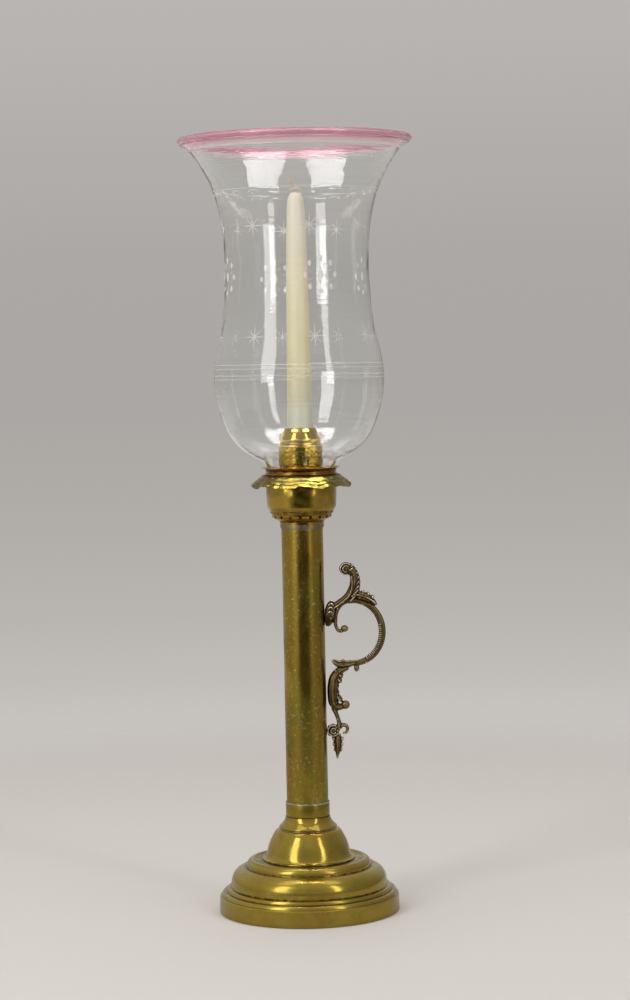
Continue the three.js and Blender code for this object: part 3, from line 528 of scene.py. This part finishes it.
bpy.ops.mesh.primitive_cylinder_add(vertices=16, radius=vent_radius / 1000, depth=punch_length / 1000)
punch = bpy.context.object
punch.data.transform(Matrix.Translation(Vector(vent_place) / 1000) @ rotation(90, "X"))
repeat_round(punch, vent_count, first_vent)
subtract(crown, punch)
# Painted shade: a dark broken ring in the corner where the crown turns out from its neck; the grey ring
# below it is solder
crown.data.materials.append(brass(
    "crown_brass", "AC8A38", "6E5320", tarnish=0.9, speckle=0.6, dents=0.2, dent_mm=9,
    bands=[(332.8, 336.4, "7C7D79"), (337.6, 339.6, "3A2A10")]))
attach(crown, "stand")
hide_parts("crown")

bowl_outside = [
    (26.5, 345.0), (27.0, 345.3),
    *smooth_line([(27.3, 346.2), (27.5, 347.3), (28.4, 348.4), (29.2, 349.6), (29.7, 351.8),
                  (30.0, 356.2), (30.3, 361.0), (30.4, 366.6), (30.4, 377.8)], 4)]
bowl_inside = [(29.6, 377.8), (29.6, 366.0), (29.2, 356.0), (28.6, 351.0), (27.2, 348.6), (25.5, 345.9),
               (23.0, 345.9), (23.0, 345.0)]
bowl = turn("gallery_bowl", bowl_outside + bowl_inside)
# Painted shade: dark broken rings round the bowl's foot and under the drip skirt's overhang
bowl.data.materials.append(brass(
    "bowl_spun_brass", "B8983E", "7C6020", tarnish=0.8, roughness=0.15, speckle=0.5, dents=0.6,
    dent_mm=14, lacquer=0.2, bands=[(345.0, 348.2, "5A4418"), (374.5, 378.6, "6A4A20")]))
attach(bowl, "stand")
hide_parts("bowl")

skirt = turn("drip_skirt_sheet", [
    (29.6, 377.9), (32.6, 377.9), (35.2, 375.8), (38.6, 372.9), (42.6, 368.9), (42.9, 368.7),
    (43.3, 368.9), (43.4, 369.3), (41.3, 371.3), (40.7, 371.4), (40.3, 372.3), (38.4, 373.9),
    (37.7, 374.2), (37.3, 375.0), (35.4, 376.5), (33.4, 378.4), (32.6, 378.6), (29.6, 378.6)], 160)
wave_start, wave_end = 33.0, 43.4
# Eight even waves and three finer crinkles: how many, how high, and where they start
waves = [(8, 0.9, 0), (13, 0.45, 0.6), (21, 0.3, 2.1), (34, 0.22, 4.0)]
for point in skirt.data.vertices:
    radius = math.hypot(point.co.x, point.co.y) * 1000
    reach = max(0.0, radius - wave_start) / (wave_end - wave_start)
    angle = math.atan2(point.co.y, point.co.x)
    wave = sum(height * math.cos(count * angle + start) for count, height, start in waves)
    point.co.z += reach * wave / 1000
# Painted shade: a dark broken ring in the corner where the skirt meets the cup
skirt.data.materials.append(brass(
    "skirt_sheet_brass", "7A6830", "4C3E20", tarnish=1.0, roughness=0.24, speckle=0.8, dents=0.8,
    dent_mm=8, bands=[(377.6, 379.2, "4A3414")]))
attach(skirt, "stand")
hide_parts("drip_skirt")

# Shade cup: the ring in the bowl's mouth that holds the glass by its neck. It is a redder brass,
# with a bead and a flared lip, and painted shade makes its waist under the lip nearly black.
cup = turn("shade_cup_ring", [
    (24.5, 371.0), (29.3, 371.0), (29.3, 378.6), (30.3, 378.6), (31.0, 379.0), (31.15, 379.6),
    (31.0, 380.2), (30.4, 380.7), (30.2, 381.4), (30.3, 382.4), (31.6, 383.5), (33.3, 384.4),
    (34.0, 384.7), (34.1, 385.0), (33.7, 385.2), (32.2, 384.7), (30.2, 383.4), (29.5, 382.0),
    (29.5, 379.6), (28.5, 378.6), (28.5, 371.8), (24.5, 371.8)])
# Painted shade: a nearly black broken ring in the waist under the flared lip
cup.data.materials.append(brass(
    "cup_copper_toned_brass", "C08C3C", "70481A", tarnish=0.9, roughness=0.12, speckle=0.4, dents=0.2,
    dent_mm=10, lacquer=0.2, bands=[(381.0, 383.2, "2C1A0A")]))
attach(cup, "stand")
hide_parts("shade_cup")

# Handle: one brass casting in the acanthus style, brazed to the column at its palmette and its
# rosette. A C scroll makes the finger ring, under a curled leaf, and an S scroll hangs below it.
casting_parts = []


def rod(points, halves, steps):
    """A round rod through (out, up) points in mm, with its half-thickness at each."""
    bpy.ops.curve.primitive_bezier_curve_add()
    curve = bpy.context.object.data
    curve.splines[0].bezier_points.add(len(points) - 2)
    for knot, (out, up), half in zip(curve.splines[0].bezier_points, points, halves):
        knot.handle_left_type = knot.handle_right_type = "AUTO"
        knot.co = (out / 1000, 0, up / 1000)
        knot.radius = half
    curve.resolution_u = steps
    curve.bevel_depth = 0.001
    curve.bevel_resolution = 3
    curve.use_fill_caps = True
    bpy.ops.object.convert(target="MESH")
    return bpy.context.object


def cast_bar(points, halves, aside=0.0, depth=1.35):
    """A bar of the casting, moved aside in mm. Its depth is a multiple of its thickness."""
    bar = rod(points, halves, 8)
    bar.data.transform(Matrix.Translation((0, aside / 1000, 0)) @ Matrix.Diagonal((1, depth, 1, 1)))
    casting_parts.append(bar)


def cast_veins(points, halves, aside):
    """A raised vein on each face of the casting."""
    for side in (-1, 1):
        cast_bar(points, halves, side * aside, 1)


def cast_lump(place, size, tilt=0.0, fan=0.0, aside=0.0):
    """A rounded leaf or bead at (out, up), tilted in its own plane and fanned out sideways."""
    bpy.ops.mesh.primitive_uv_sphere_add(segments=16, ring_count=10, radius=0.001)
    lump = bpy.context.object
    lump.data.transform(Matrix.Translation((place[0] / 1000, aside / 1000, place[1] / 1000))
                        @ rotation(fan, "X") @ rotation(tilt, "Y") @ Matrix.Diagonal((*size, 1)))
    casting_parts.append(lump)


scroll_centre = (43.0, 241.5)
scroll_size = (24.5, 27.1)


def along_scroll(wider, taller, first, last, steps=1):
    """Points beside the C scroll's middle line, from one angle in degrees to another."""
    return arc(scroll_centre, (scroll_size[0] + wider, scroll_size[1] + taller), first, last, steps)


cast_bar([(34.9, 244.5), (30.7, 242.3), (27.8, 245.8), (27.1, 251.5), (27.8, 258.3), (30.5, 264.0),
          (34.9, 267.8), (40.5, 268.7)], [2.1, 1.5, 1.5, 1.9, 2.1, 2.4, 2.7, 2.3])
cast_lump((34.9, 244.5), (3.3, 3.6, 3.0))
cast_bar(along_scroll(0, 0, 100, -100, 40),
         [2.4 + 0.7 * math.sin(math.pi * i / 40) for i in range(41)], depth=0.95)
for angle in range(14, -66, -4):
    cast_lump(along_scroll(-1, -1, angle, angle)[0], (2.5, 3.3, 0.62), tilt=-angle)
cast_bar([(42.5, 214.4), (36.9, 213.2), (31.2, 212.9), (26.6, 214.6), (23.4, 217.4)],
         [2.0, 3.0, 3.1, 2.2, 0.8])
cast_lump((44.7, 210.1), (2.4, 2.6, 3.4))
cast_lump((33.2, 215.8), (1.6, 2.4, 2.4), tilt=-20)
cast_bar([(47.0, 216.6), (38.0, 215.9), (30.0, 215.9), (25.2, 217.9)], [0.5, 0.8, 0.8, 0.5], depth=3.4)
cast_bar(along_scroll(4.4, 5, 95, 45, 6), [1.4, 3.0, 3.9, 4.0, 3.5, 2.3, 0.7])
for angle, height in ((82, 2.8), (74, 3.4), (66, 3.2), (58, 2.6)):
    cast_lump(along_scroll(7.2, 7.8, angle, angle)[0], (1.3, 3.8, height), tilt=62 - angle)
cast_veins(along_scroll(4.6, 5.4, 90, 48, 5), [0.5, 0.8, 0.9, 0.8, 0.6, 0.4], 4.4)

leaf_spine = [(24.0, 262.0), (30.0, 266.3), (36.0, 270.3), (41.3, 276.6), (44.0, 284.4),
              (43.8, 291.0), (40.5, 296.0)]
cast_bar(leaf_spine, [3.0, 3.0, 3.2, 3.7, 3.9, 4.1, 4.4])
cast_lump((37.0, 296.4), (5.9, 5.6, 5.7))
for i, (out, up) in enumerate(((45.4, 272.9), (46.8, 276.6), (47.6, 280.4), (47.9, 284.2), (47.5, 288.0),
                               (46.5, 291.6), (44.9, 295.0), (42.6, 298.2))):
    cast_lump((out, up), (1.5, 3.9 - 0.15 * i, 3.1), tilt=34 - 9 * i)
    cast_veins([(out - 5.2, up - 4.6), (out - 2.2, up - 1.4), (out + 0.6, up + 1.6)],
               [0.55, 0.8, 0.5], 4.1 - 0.12 * i)
cast_veins([(26.0, 262.6), (33.0, 267.6), (39.3, 273.4), (42.2, 281.5), (42.0, 290.0)],
           [0.5, 0.8, 0.9, 0.9, 0.6], 4.3)
for curl_radius, aside in ((4.6, 3.6), (2.6, 5.0)):
    cast_veins(arc((37.0, 296.4), (curl_radius, curl_radius), 40, 290, 8), [0.55] * 9, aside)

for rib in range(-3, 4):
    fan = rib * 13.0
    reach = 10.8 - 0.7 * abs(rib)
    aside = reach * math.sin(math.radians(fan))
    drop = column_radius - math.sqrt(column_radius ** 2 - aside ** 2)
    cast_lump((22.4 - drop, 247.0 + reach * math.cos(math.radians(fan))),
              (5.0 - abs(rib) * 0.5, 1.5, reach + 0.8), fan=-fan, tilt=9, aside=aside)
cast_lump((23.6, 259.0), (4.4, 4.4, 8.6))

cast_bar([(37.5, 211.0), (30.3, 208.0), (25.4, 202.0), (23.8, 194.0), (23.7, 186.3), (24.4, 180.0),
          (27.6, 176.8), (31.8, 176.9), (34.6, 178.0)], [2.4, 3.6, 4.5, 4.9, 4.9, 4.4, 3.4, 2.6, 2.2])
cast_lump((34.4, 178.2), (3.9, 4.0, 3.8))
for out, up, tilt in ((29.8, 200.6, -24), (27.4, 195.6, -10), (27.4, 189.8, -18), (29.6, 184.2, -38),
                      (30.6, 205.0, -40)):
    cast_lump((out - 0.5, up), (2.4, 3.4, 3.9), tilt=tilt)
    cast_veins([(out - 4.6, up + 3.6), (out - 2.0, up + 1.2), (out + 0.4, up - 2.2)],
               [0.5, 0.75, 0.45], 4.3)
cast_bar([(24.0, 176.0), (26.6, 169.7), (28.4, 163.6), (28.6, 157.0)], [2.4, 1.9, 1.8, 2.2])
cast_bar([(25.2, 172.6), (28.6, 166.0), (30.8, 160.2)], [0.9, 1.0, 0.8])

petal_count = 8
for i in range(petal_count):
    angle = 2 * math.pi * i / petal_count
    cast_lump((23.3 + 3.9 * math.cos(angle), 156.0 + 3.9 * math.sin(angle)), (2.1, 3.0, 2.1))
cast_lump((23.3, 156.0), (3.2, 4.4, 3.2))
cast_veins(arc((23.5, 156.2), (4.6, 4.6), 60, 330, 9), [0.6] * 10, 3.4)
cast_veins(arc((23.7, 156.0), (2.3, 2.3), 30, 330, 7), [0.55] * 8, 4.2)
cast_bar(arc((32.6, 157.1), (3.3, 3.6), 165, -110, 9), [1.5, 1.6, 1.7, 1.7, 1.6, 1.5, 1.4, 1.3, 1.1, 0.9])
cast_bar([(27.6, 153.0), (27.2, 146.0), (26.9, 139.0), (26.6, 131.0)], [2.6, 3.0, 2.4, 0.6])
for row, (up, spread, size) in enumerate(((148.4, 3.4, 2.5), (143.6, 3.1, 2.3), (139.2, 2.3, 2.0))):
    for share in (-1, 1):
        cast_lump((27.3 + share * spread, up), (1.5, 2.2, size), tilt=share * 24)
        cast_lump((27.2 + share * spread * 0.4, up - 1.6), (1.2, 3.4 - 0.4 * row, size), tilt=share * 12)

fuse_mm = 0.38
braze_gap = 0.15
tube_length = 800
select(*casting_parts)
bpy.ops.object.join()
handle = bpy.context.object
handle.name = "cast_handle"
handle.data.name = "cast_handle"
fuse = handle.modifiers.new("fuse", "REMESH")
fuse.voxel_size = fuse_mm / 1000
bpy.ops.object.modifier_apply(modifier=fuse.name)
fettle = handle.modifiers.new("fettle", "SMOOTH")
fettle.iterations = 3
bpy.ops.object.modifier_apply(modifier=fettle.name)
bpy.ops.mesh.primitive_cylinder_add(vertices=128, radius=(column_radius + braze_gap) / 1000,
                                    depth=tube_length / 1000)
subtract(handle, bpy.context.object)
bpy.ops.object.shade_smooth()

# Cast brass, never polished: dark brown patina in its hollows and worn bright along its high edges,
# where a near-white tone is a painted highlight, with a sandy skin of about one millimetre
antique, tree, spot = new_material("antique_cast_brass")
shape = add_node(tree, "NewGeometry")
rubbed_and_highlit_edges = add_node(tree, "MapRange", {"From Min": 0.485, "From Max": 0.56},
                  {"Value": shape.outputs["Pointiness"]})
clouds = add_node(tree, "TexNoise", {"Scale": 160, "Detail": 4}, {0: spot})
wear_and_highlight_patches = add_node(tree, "Math", {"operation": "MULTIPLY_ADD", 2: -0.22}, {0: rubbed_and_highlit_edges, 1: clouds})
share = add_node(tree, "Math", {"operation": "ADD"}, {0: rubbed_and_highlit_edges, 1: wear_and_highlight_patches})
# The near-white top of this ramp is a painted highlight on the high edges; its dark brown bottom is patina
# in the hollows
tone = add_node(tree, "ValToRGB", links={0: share},
                stops=[(0, linear("3C3120")), (1, linear("F6EEDC")), (0.3, linear("75623C")),
                       (0.62, linear("B4A37A"))])
skin = add_node(tree, "TexNoise", {"Scale": 1100, "Detail": 4}, {0: spot})
relief = add_node(tree, "Bump", {"Strength": 0.8, "Distance": 0.0003}, {"Height": skin})
metal = add_node(tree, "BsdfPrincipled", {"Metallic": 1.0, "Roughness": 0.36},
                 {"Base Color": tone, "Normal": relief})
add_node(tree, "OutputMaterial", links={"Surface": metal})
handle.data.materials.append(antique)
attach(handle, "stand")
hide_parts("handle")

# Cap: the turned socket that the spring presses the candle against. Its sleeve drops over the
# column and turns on two rivets in L-shaped slots, and its cone ends in the candle's mouth.
cap_outside = [
    (18.9, 387.8), (19.0, 388.1), (19.0, 402.6), (19.15, 403.0), (19.3, 403.6), (19.2, 404.1),
    (18.8, 404.4), (18.1, 404.7), (17.75, 405.1), (17.6, 406.0), (17.6, 407.6), (17.75, 408.0),
    (17.9, 408.4), (17.8, 408.9), (17.4, 409.2),
    *smooth_line([(17.0, 409.6), (16.4, 411.6), (15.5, 414.0), (14.5, 416.0), (13.6, 417.4),
                  (12.8, 418.2), (12.1, 418.6)], 3),
    (11.6, 418.6)]
cap_inside = [(11.4, 418.2), (11.4, 417.5), (14.8, 409.3), (15.6, 407.2), (15.6, 402.6), (18.3, 402.6),
              (18.3, 387.8)]
cap = turn("socket_cap_turned", cap_outside + cap_inside, 144)

# Each slot is an upright entry and a run round the sleeve that narrows towards its end
cut_radius, cut_depth = 18.7, 6.0
slot_top = 399.7
entry_width, entry_length = 5.8, 13.9
entry_angle = 12.8
run_start, run_end = 20.0, 60.0
run_height, run_narrowing = 5.1, 2.3
sleeve_foot, sleeve_head = 387.9, 402.2


def mill(blank, turned, size):
    """Sizes a blank in mm and sets it at the sleeve, under the slot's top and turned in degrees."""
    place = (0, -cut_radius / 1000, (slot_top - size[2] / 2) / 1000)
    blank.data.transform(rotation(turned) @ Matrix.Translation(place)
                         @ Matrix.Diagonal((*(Vector(size) / 1000), 1)))
    return blank


for side in (0, 180):
    bpy.ops.mesh.primitive_cube_add(size=1)
    subtract(cap, mill(bpy.context.object, side + entry_angle, (entry_width, cut_depth, entry_length)))
    bpy.ops.mesh.primitive_plane_add(size=1, rotation=(math.pi / 2, 0, math.pi / 2))
    bpy.ops.object.transform_apply()
    run = mill(bpy.context.object, side + run_start, (1, cut_depth, run_height))
    bpy.ops.object.mode_set(mode="EDIT")
    spin_up(10, math.radians(run_end - run_start))
    for point in run.data.vertices:
        angle = math.degrees(math.atan2(point.co.x, -point.co.y)) - side
        share = (angle % 360 - run_start) / (run_end - run_start)
        if point.co.z < (slot_top - run_height / 2) / 1000:
            point.co.z += run_narrowing / 1000 * min(max(share, 0), 1)
    subtract(cap, run)
# Painted highlights: pale bands along both beads. Painted shade: darker bands on the neck between the beads
# and in the crease above the upper bead
cap.data.materials.append(brass(
    "cap_turned_brass", "BCA148", "80662A", roughness=0.1, dents=0.06, lacquer=0.2,
    bands=[(404.4, 407.6, "6E5E30"), (409.2, 410.0, "4A3414"), (403.1, 404.1, "F4E8BC"),
           (408.0, 408.8, "F4E8BC")]))
# Painted shade: the slots' side walls get a dark material, so that each slot shows as a dark line
cap.data.materials.append(plain_metal("slot_wall_painted_shade", "4A3A1C", "2A200E", 0.6, 0.5))
for polygon in cap.data.polygons:
    outwards = Vector((polygon.center.x, polygon.center.y, 0)).normalized()
    on_sleeve = sleeve_foot < polygon.center.z * 1000 < sleeve_head
    polygon.material_index = int(on_sleeve and abs(polygon.normal.dot(outwards)) < 0.5)
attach(cap, "socket_cap")
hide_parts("cap")

# Shade: blown clear glass with a cylindrical neck, a round belly, a waist and a flared mouth.
# It stands in the cup by its neck and lifts out.


def glass(name, tint, body=0.0, tints=()):
    """Blown glass, with slow ripples some centimetres long and fine ridges round it. It lets the
    lamps' rays through, so that what stands inside is lit. body is the share of its colour that
    lies in the glass as milk does, and tints are its colours at given heights in mm."""
    material, tree, spot = new_material(name)
    stretched = add_node(tree, "Mapping", {"Scale": (1, 1, 0.6)}, {0: spot})
    waves = add_node(tree, "TexNoise", {"Scale": 55, "Detail": 1}, {0: stretched})
    relief = add_node(tree, "Bump", {"Strength": 0.12, "Distance": 0.002}, {"Height": waves})
    # Ridges 4 mm apart that run a third of the way round
    squeezed = add_node(tree, "Mapping", {"Scale": (0.3, 0.3, 6)}, {0: spot})
    ridges = add_node(tree, "TexNoise", {"Scale": 40, "Detail": 1}, {0: squeezed})
    ridged = add_node(tree, "Bump", {"Strength": 0.7, "Distance": 0.0003},
                      {"Height": ridges, "Normal": relief})
    links = {"Normal": ridged}
    if tints:
        up = add_node(tree, "SeparateXYZ", links={0: spot})
        rise = add_node(tree, "MapRange", {"From Min": tints[0][0] / 1000, "From Max": tints[-1][0] / 1000},
                        {"Value": up.outputs["Z"]})
        span = tints[-1][0] - tints[0][0]
        stops = [((at - tints[0][0]) / span, linear(code)) for at, code in tints]
        fade = add_node(tree, "ValToRGB", links={0: rise}, stops=[stops[0], stops[-1], *stops[1:-1]])
        links["Base Color"] = fade
    clear = add_node(tree, "BsdfPrincipled",
                     {"Base Color": linear(tint), "Roughness": 0.0, "IOR": 1.52,
                      "Transmission Weight": 1.0 - body}, links)
    open_way = add_node(tree, "BsdfTransparent", {"Color": linear(tint)})
    path = add_node(tree, "LightPath")
    mixed = add_node(tree, "MixShader", links={0: path.outputs["Is Shadow Ray"], 1: clear, 2: open_way})
    add_node(tree, "OutputMaterial", links={"Surface": mixed})
    return material


glass_thickness = 2.1
glass_outline = smooth_line([
    (28.0, 372.1), (28.0, 376.5), (28.0, 381.1), (28.7, 385.2), (31.0, 388.6), (35.5, 391.8),
    (42.2, 395.2), (50.2, 400.6), (57.6, 408.2), (63.4, 417.8), (68.1, 430.2), (71.4, 444.2),
    (73.2, 459.5), (72.0, 475.5), (68.9, 490.1), (65.9, 504.0), (63.7, 521.0), (62.4, 540.0),
    (61.9, 558.0), (62.3, 573.5), (63.3, 588.5), (65.6, 602.5), (69.0, 616.0), (73.6, 628.5),
    (79.4, 640.0), (84.8, 648.3), (88.6, 653.6), (90.0, 655.3)], 4)


def wall_inside(line, thickness):
    """The inner face of a wall whose outer face is the given line, listed from its far end."""
    inner = []
    for i, (radius, height) in enumerate(line):
        ahead = Vector(line[min(i + 1, len(line) - 1)])
        behind = Vector(line[max(i - 1, 0)])
        along = (ahead - behind).normalized()
        inner.append((radius - along.y * thickness, height + along.x * thickness))
    return inner[::-1]


shade = turn("blown_shade", glass_outline + wall_inside(glass_outline, glass_thickness), 160)
shade.data.materials.append(glass("clear_blown_glass", "FBFCFB"))
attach(shade, "glass")
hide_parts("shade")

# Cut decoration: stars, flowers and bands that a wheel has ground matt into the outer face of the
# glass. Each is a thin film of frosted glass laid on the wall.


def ground_glass(name, cover):
    """The matt skin that a grinding wheel leaves, half see-through, with a grain of about 1 mm."""
    material, tree, spot = new_material(name)
    grain = add_node(tree, "TexNoise", {"Scale": 900, "Detail": 2}, {0: spot})
    relief = add_node(tree, "Bump", {"Strength": 0.4, "Distance": 0.0001}, {"Height": grain})
    skin = add_node(tree, "BsdfPrincipled",
                    {"Base Color": linear("EDEAE6"), "Roughness": 0.85, "Alpha": cover}, {"Normal": relief})
    add_node(tree, "OutputMaterial", links={"Surface": skin})
    return material


frost = ground_glass("wheel_cut_frost", 0.5)
film_thickness = 0.06
film_lift = 0.04
drawing_distance = 110


def cut_line(centre, length, width, turned):
    """A flat lens-shaped cut in front of the glass, at (across, height) in mm, turned in degrees."""
    bpy.ops.mesh.primitive_grid_add(x_subdivisions=10, y_subdivisions=2, size=1)
    mark = bpy.context.object
    for point in mark.data.vertices:
        point.co.y *= 1.02 - (2 * point.co.x) ** 2
    place = (centre[0] / 1000, -drawing_distance / 1000, centre[1] / 1000)
    mark.data.transform(Matrix.Translation(place)
                        @ rotation(turned, "Y") @ rotation(90, "X")
                        @ Matrix.Diagonal((length / 1000, width / 1000, 1, 1)))
    return mark


def lay_on_glass(name, marks, first_angle, count):
    """Joins flat marks, presses them onto the glass, gives them a film's thickness and repeats them
    round the shade from the first angle, in degrees from the front."""
    select(*marks)
    bpy.ops.object.join()
    piece = bpy.context.object
    wrap = piece.modifiers.new("press", "SHRINKWRAP")
    wrap.target = shade
    wrap.wrap_method = "PROJECT"
    wrap.use_project_y = True
    wrap.use_negative_direction = True
    wrap.project_limit = 0.1
    bpy.ops.object.modifier_apply(modifier=wrap.name)
    bpy.ops.object.mode_set(mode="EDIT")
    bpy.ops.mesh.select_all(action="SELECT")
    bpy.ops.mesh.normals_make_consistent(inside=False)
    bpy.ops.object.mode_set(mode="OBJECT")
    for polygon in piece.data.polygons:
        if polygon.normal.y > 0:
            polygon.flip()
    film = piece.modifiers.new("film", "SOLIDIFY")
    film.thickness = film_thickness / 1000
    film.offset = 1
    bpy.ops.object.modifier_apply(modifier=film.name)
    piece.data.transform(Matrix.Translation((0, -film_lift / 1000, 0)))
    repeat_round(piece, count, first_angle)
    bpy.ops.object.shade_smooth()
    piece.name = name
    piece.data.name = name
    piece.data.materials.append(frost)
    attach(piece, "glass")


def star(height, reach):
    """Marks of an eight-rayed star in front of the glass."""
    return [cut_line((0, height), 2 * reach * (1 if turned % 90 == 0 else 0.8), 0.75, turned)
            for turned in (0, 45, 90, 135)]


lay_on_glass("upper_cut_stars", star(590, 10.5), 10, 8)
lay_on_glass("lower_cut_stars", star(497, 10.5), 12, 8)
flower_height = 548
petal_ring = (13.2, 13.8)
dash_ring = (9.5, 9.5)
flower = [cut_line((0, flower_height), 8.4, 5.4, 90)]
for i in range(8):
    petal_angle = 90 - 45 * i
    dash_angle = petal_angle - 22.5
    petal = arc((0, flower_height), petal_ring, petal_angle, petal_angle, 1)[0]
    dash = arc((0, flower_height), dash_ring, dash_angle, dash_angle, 1)[0]
    flower.append(cut_line(petal, 5.4, 3.4, 90))
    flower.append(cut_line(dash, 4.2, 0.45, -dash_angle))
lay_on_glass("cut_flowers", flower, 18.5, 4)
scallops = [cut_line((0, 619.4), 6.0, 0.9, 0), cut_line((4.2, 618.4), 4.0, 0.6, 35),
            cut_line((-4.2, 618.4), 4.0, 0.6, -35)]
lay_on_glass("shoulder_scallops", scallops, 0, 24)


def wall_radius(height):
    """The glass's outer radius at a height, in mm."""
    for (low_radius, low), (high_radius, high) in zip(glass_outline, glass_outline[1:]):
        if low <= height <= high:
            return low_radius + (high_radius - low_radius) * (height - low) / (high - low)


line_frost = ground_glass("worn_line_frost", 0.22)
for name, low, high in (("lower_band_foot", 461.2, 461.7), ("lower_band_head", 464.3, 464.9),
                        ("upper_band_foot", 470.0, 470.5), ("upper_band_head", 473.4, 474.0),
                        ("shoulder_line", 621.0, 621.6)):
    outer = [(wall_radius(height) + film_lift + film_thickness, height) for height in (low, high)]
    inner = [(wall_radius(height) + film_lift, height) for height in (high, low)]
    line = turn(name, outer + inner, 160)
    line.data.materials.append(line_frost)
    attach(line, "glass")

# Rim: the mouth's edge, folded outwards over a last gather of rose-coloured glass. The fold is a
# pale band that ends in a rolled bead with a ridge under it, where the colour is deepest.
fold_line = smooth_line([(90.2, 655.4), (91.3, 655.9), (93.9, 658.8), (95.6, 660.4)], 3)
ridge = arc((96.6, 661.6), (1.7, 1.6), -110, 0, 6)
bead = arc((98.0, 664.8), (2.5, 2.5), -50, 150, 14)
rim_inner = wall_inside(smooth_line([(90.2, 655.4), (93.4, 659.2), (97.4, 663.0)], 4), glass_thickness)
rim = turn("rose_rim", fold_line + ridge + bead + rim_inner[1:], 160)
rim.data.materials.append(glass("rose_glass", "F4D6DC", body=0.12, tints=[
    (655.0, "FBF4F5"), (660.0, "F3DFE4"), (660.8, "DA98A9"), (662.0, "EDC6CF"), (662.8, "C9738B"),
    (664.4, "EBBFCA"), (666.0, "EFCBD4"), (667.0, "C9708A")]))
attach(rim, "glass")
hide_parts("shade_rim")

# Candle: tapered ivory wax, a little greyer low down. Its butt stands in the follower, and its tip
# is open round the wick.
candle = turn("tapered_candle", [
    (0, 367.4), (10.6, 367.4), (11.0, 367.8),
    *smooth_line([(11.0, 380.0), (11.0, 420.0), (10.9, 445.3), (10.2, 485.2), (9.55, 528.1),
                  (8.75, 570.8), (8.0, 596.4), (7.5, 607.5), (6.9, 613.5), (5.5, 617.6), (3.8, 619.6),
                  (2.4, 620.2)], 4),
    (1.1, 620.0), (1.1, 615.0), (0, 615.0)], 96)
wax, tree, spot = new_material("ivory_wax")
height = add_node(tree, "SeparateXYZ", links={0: spot})
rise = add_node(tree, "MapRange", {"From Min": 0.42, "From Max": 0.60}, {"Value": height.outputs["Z"]})
tone = add_node(tree, "ValToRGB", links={0: rise},
                stops=[(0, linear("B9B8A8")), (1, linear("D4CCBC")), (0.25, linear("C8BE9B")),
                       (0.6, linear("CDC3A4"))])
lumps = add_node(tree, "TexNoise", {"Scale": 180, "Detail": 2}, {0: spot})
relief = add_node(tree, "Bump", {"Strength": 0.15, "Distance": 0.0003}, {"Height": lumps})
skin = add_node(tree, "BsdfPrincipled",
                {"Roughness": 0.42, "Subsurface Weight": 0.35, "Subsurface Scale": 0.004,
                 "Subsurface Radius": (1.0, 0.7, 0.4), "IOR": 1.45},
                {"Base Color": tone, "Normal": relief})
add_node(tree, "OutputMaterial", links={"Surface": skin})
candle.data.materials.append(wax)
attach(candle, "taper")
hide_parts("candle")

# Wick: braided cotton, unburnt, which leaves the wax upright and then bends over to the left.
wick_radius = 0.7
wick_path = [(0, 615.4), (0, 621.6), (-0.4, 625.4), (-2.6, 628.8), (-4.8, 632.4), (-5.2, 637.0)]
wick = rod(wick_path, [wick_radius] * len(wick_path), 12)
wick.name = "cotton_wick"
bpy.ops.object.shade_smooth()
cotton, tree, spot = new_material("braided_cotton")
# Plaits of 0.8 mm, drawn as slanting waves round the wick, with painted shade darkening the grooves between
# them
plaits = add_node(tree, "TexWave", {"wave_type": "BANDS", "bands_direction": "DIAGONAL",
                                    "Scale": 400, "Distortion": 2}, {0: spot}).outputs["Fac"]
tone = add_node(tree, "Mix", {"data_type": "RGBA", 6: linear("9C8660"), 7: linear("DCCBA4")},
                {0: plaits})
relief = add_node(tree, "Bump", {"Strength": 0.8, "Distance": 0.0002}, {"Height": plaits})
yarn = add_node(tree, "BsdfPrincipled", {"Roughness": 0.9, "Sheen Weight": 0.3},
                {"Base Color": tone, "Normal": relief})
add_node(tree, "OutputMaterial", links={"Surface": yarn})
wick.data.materials.append(cotton)
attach(wick, "taper")
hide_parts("wick")
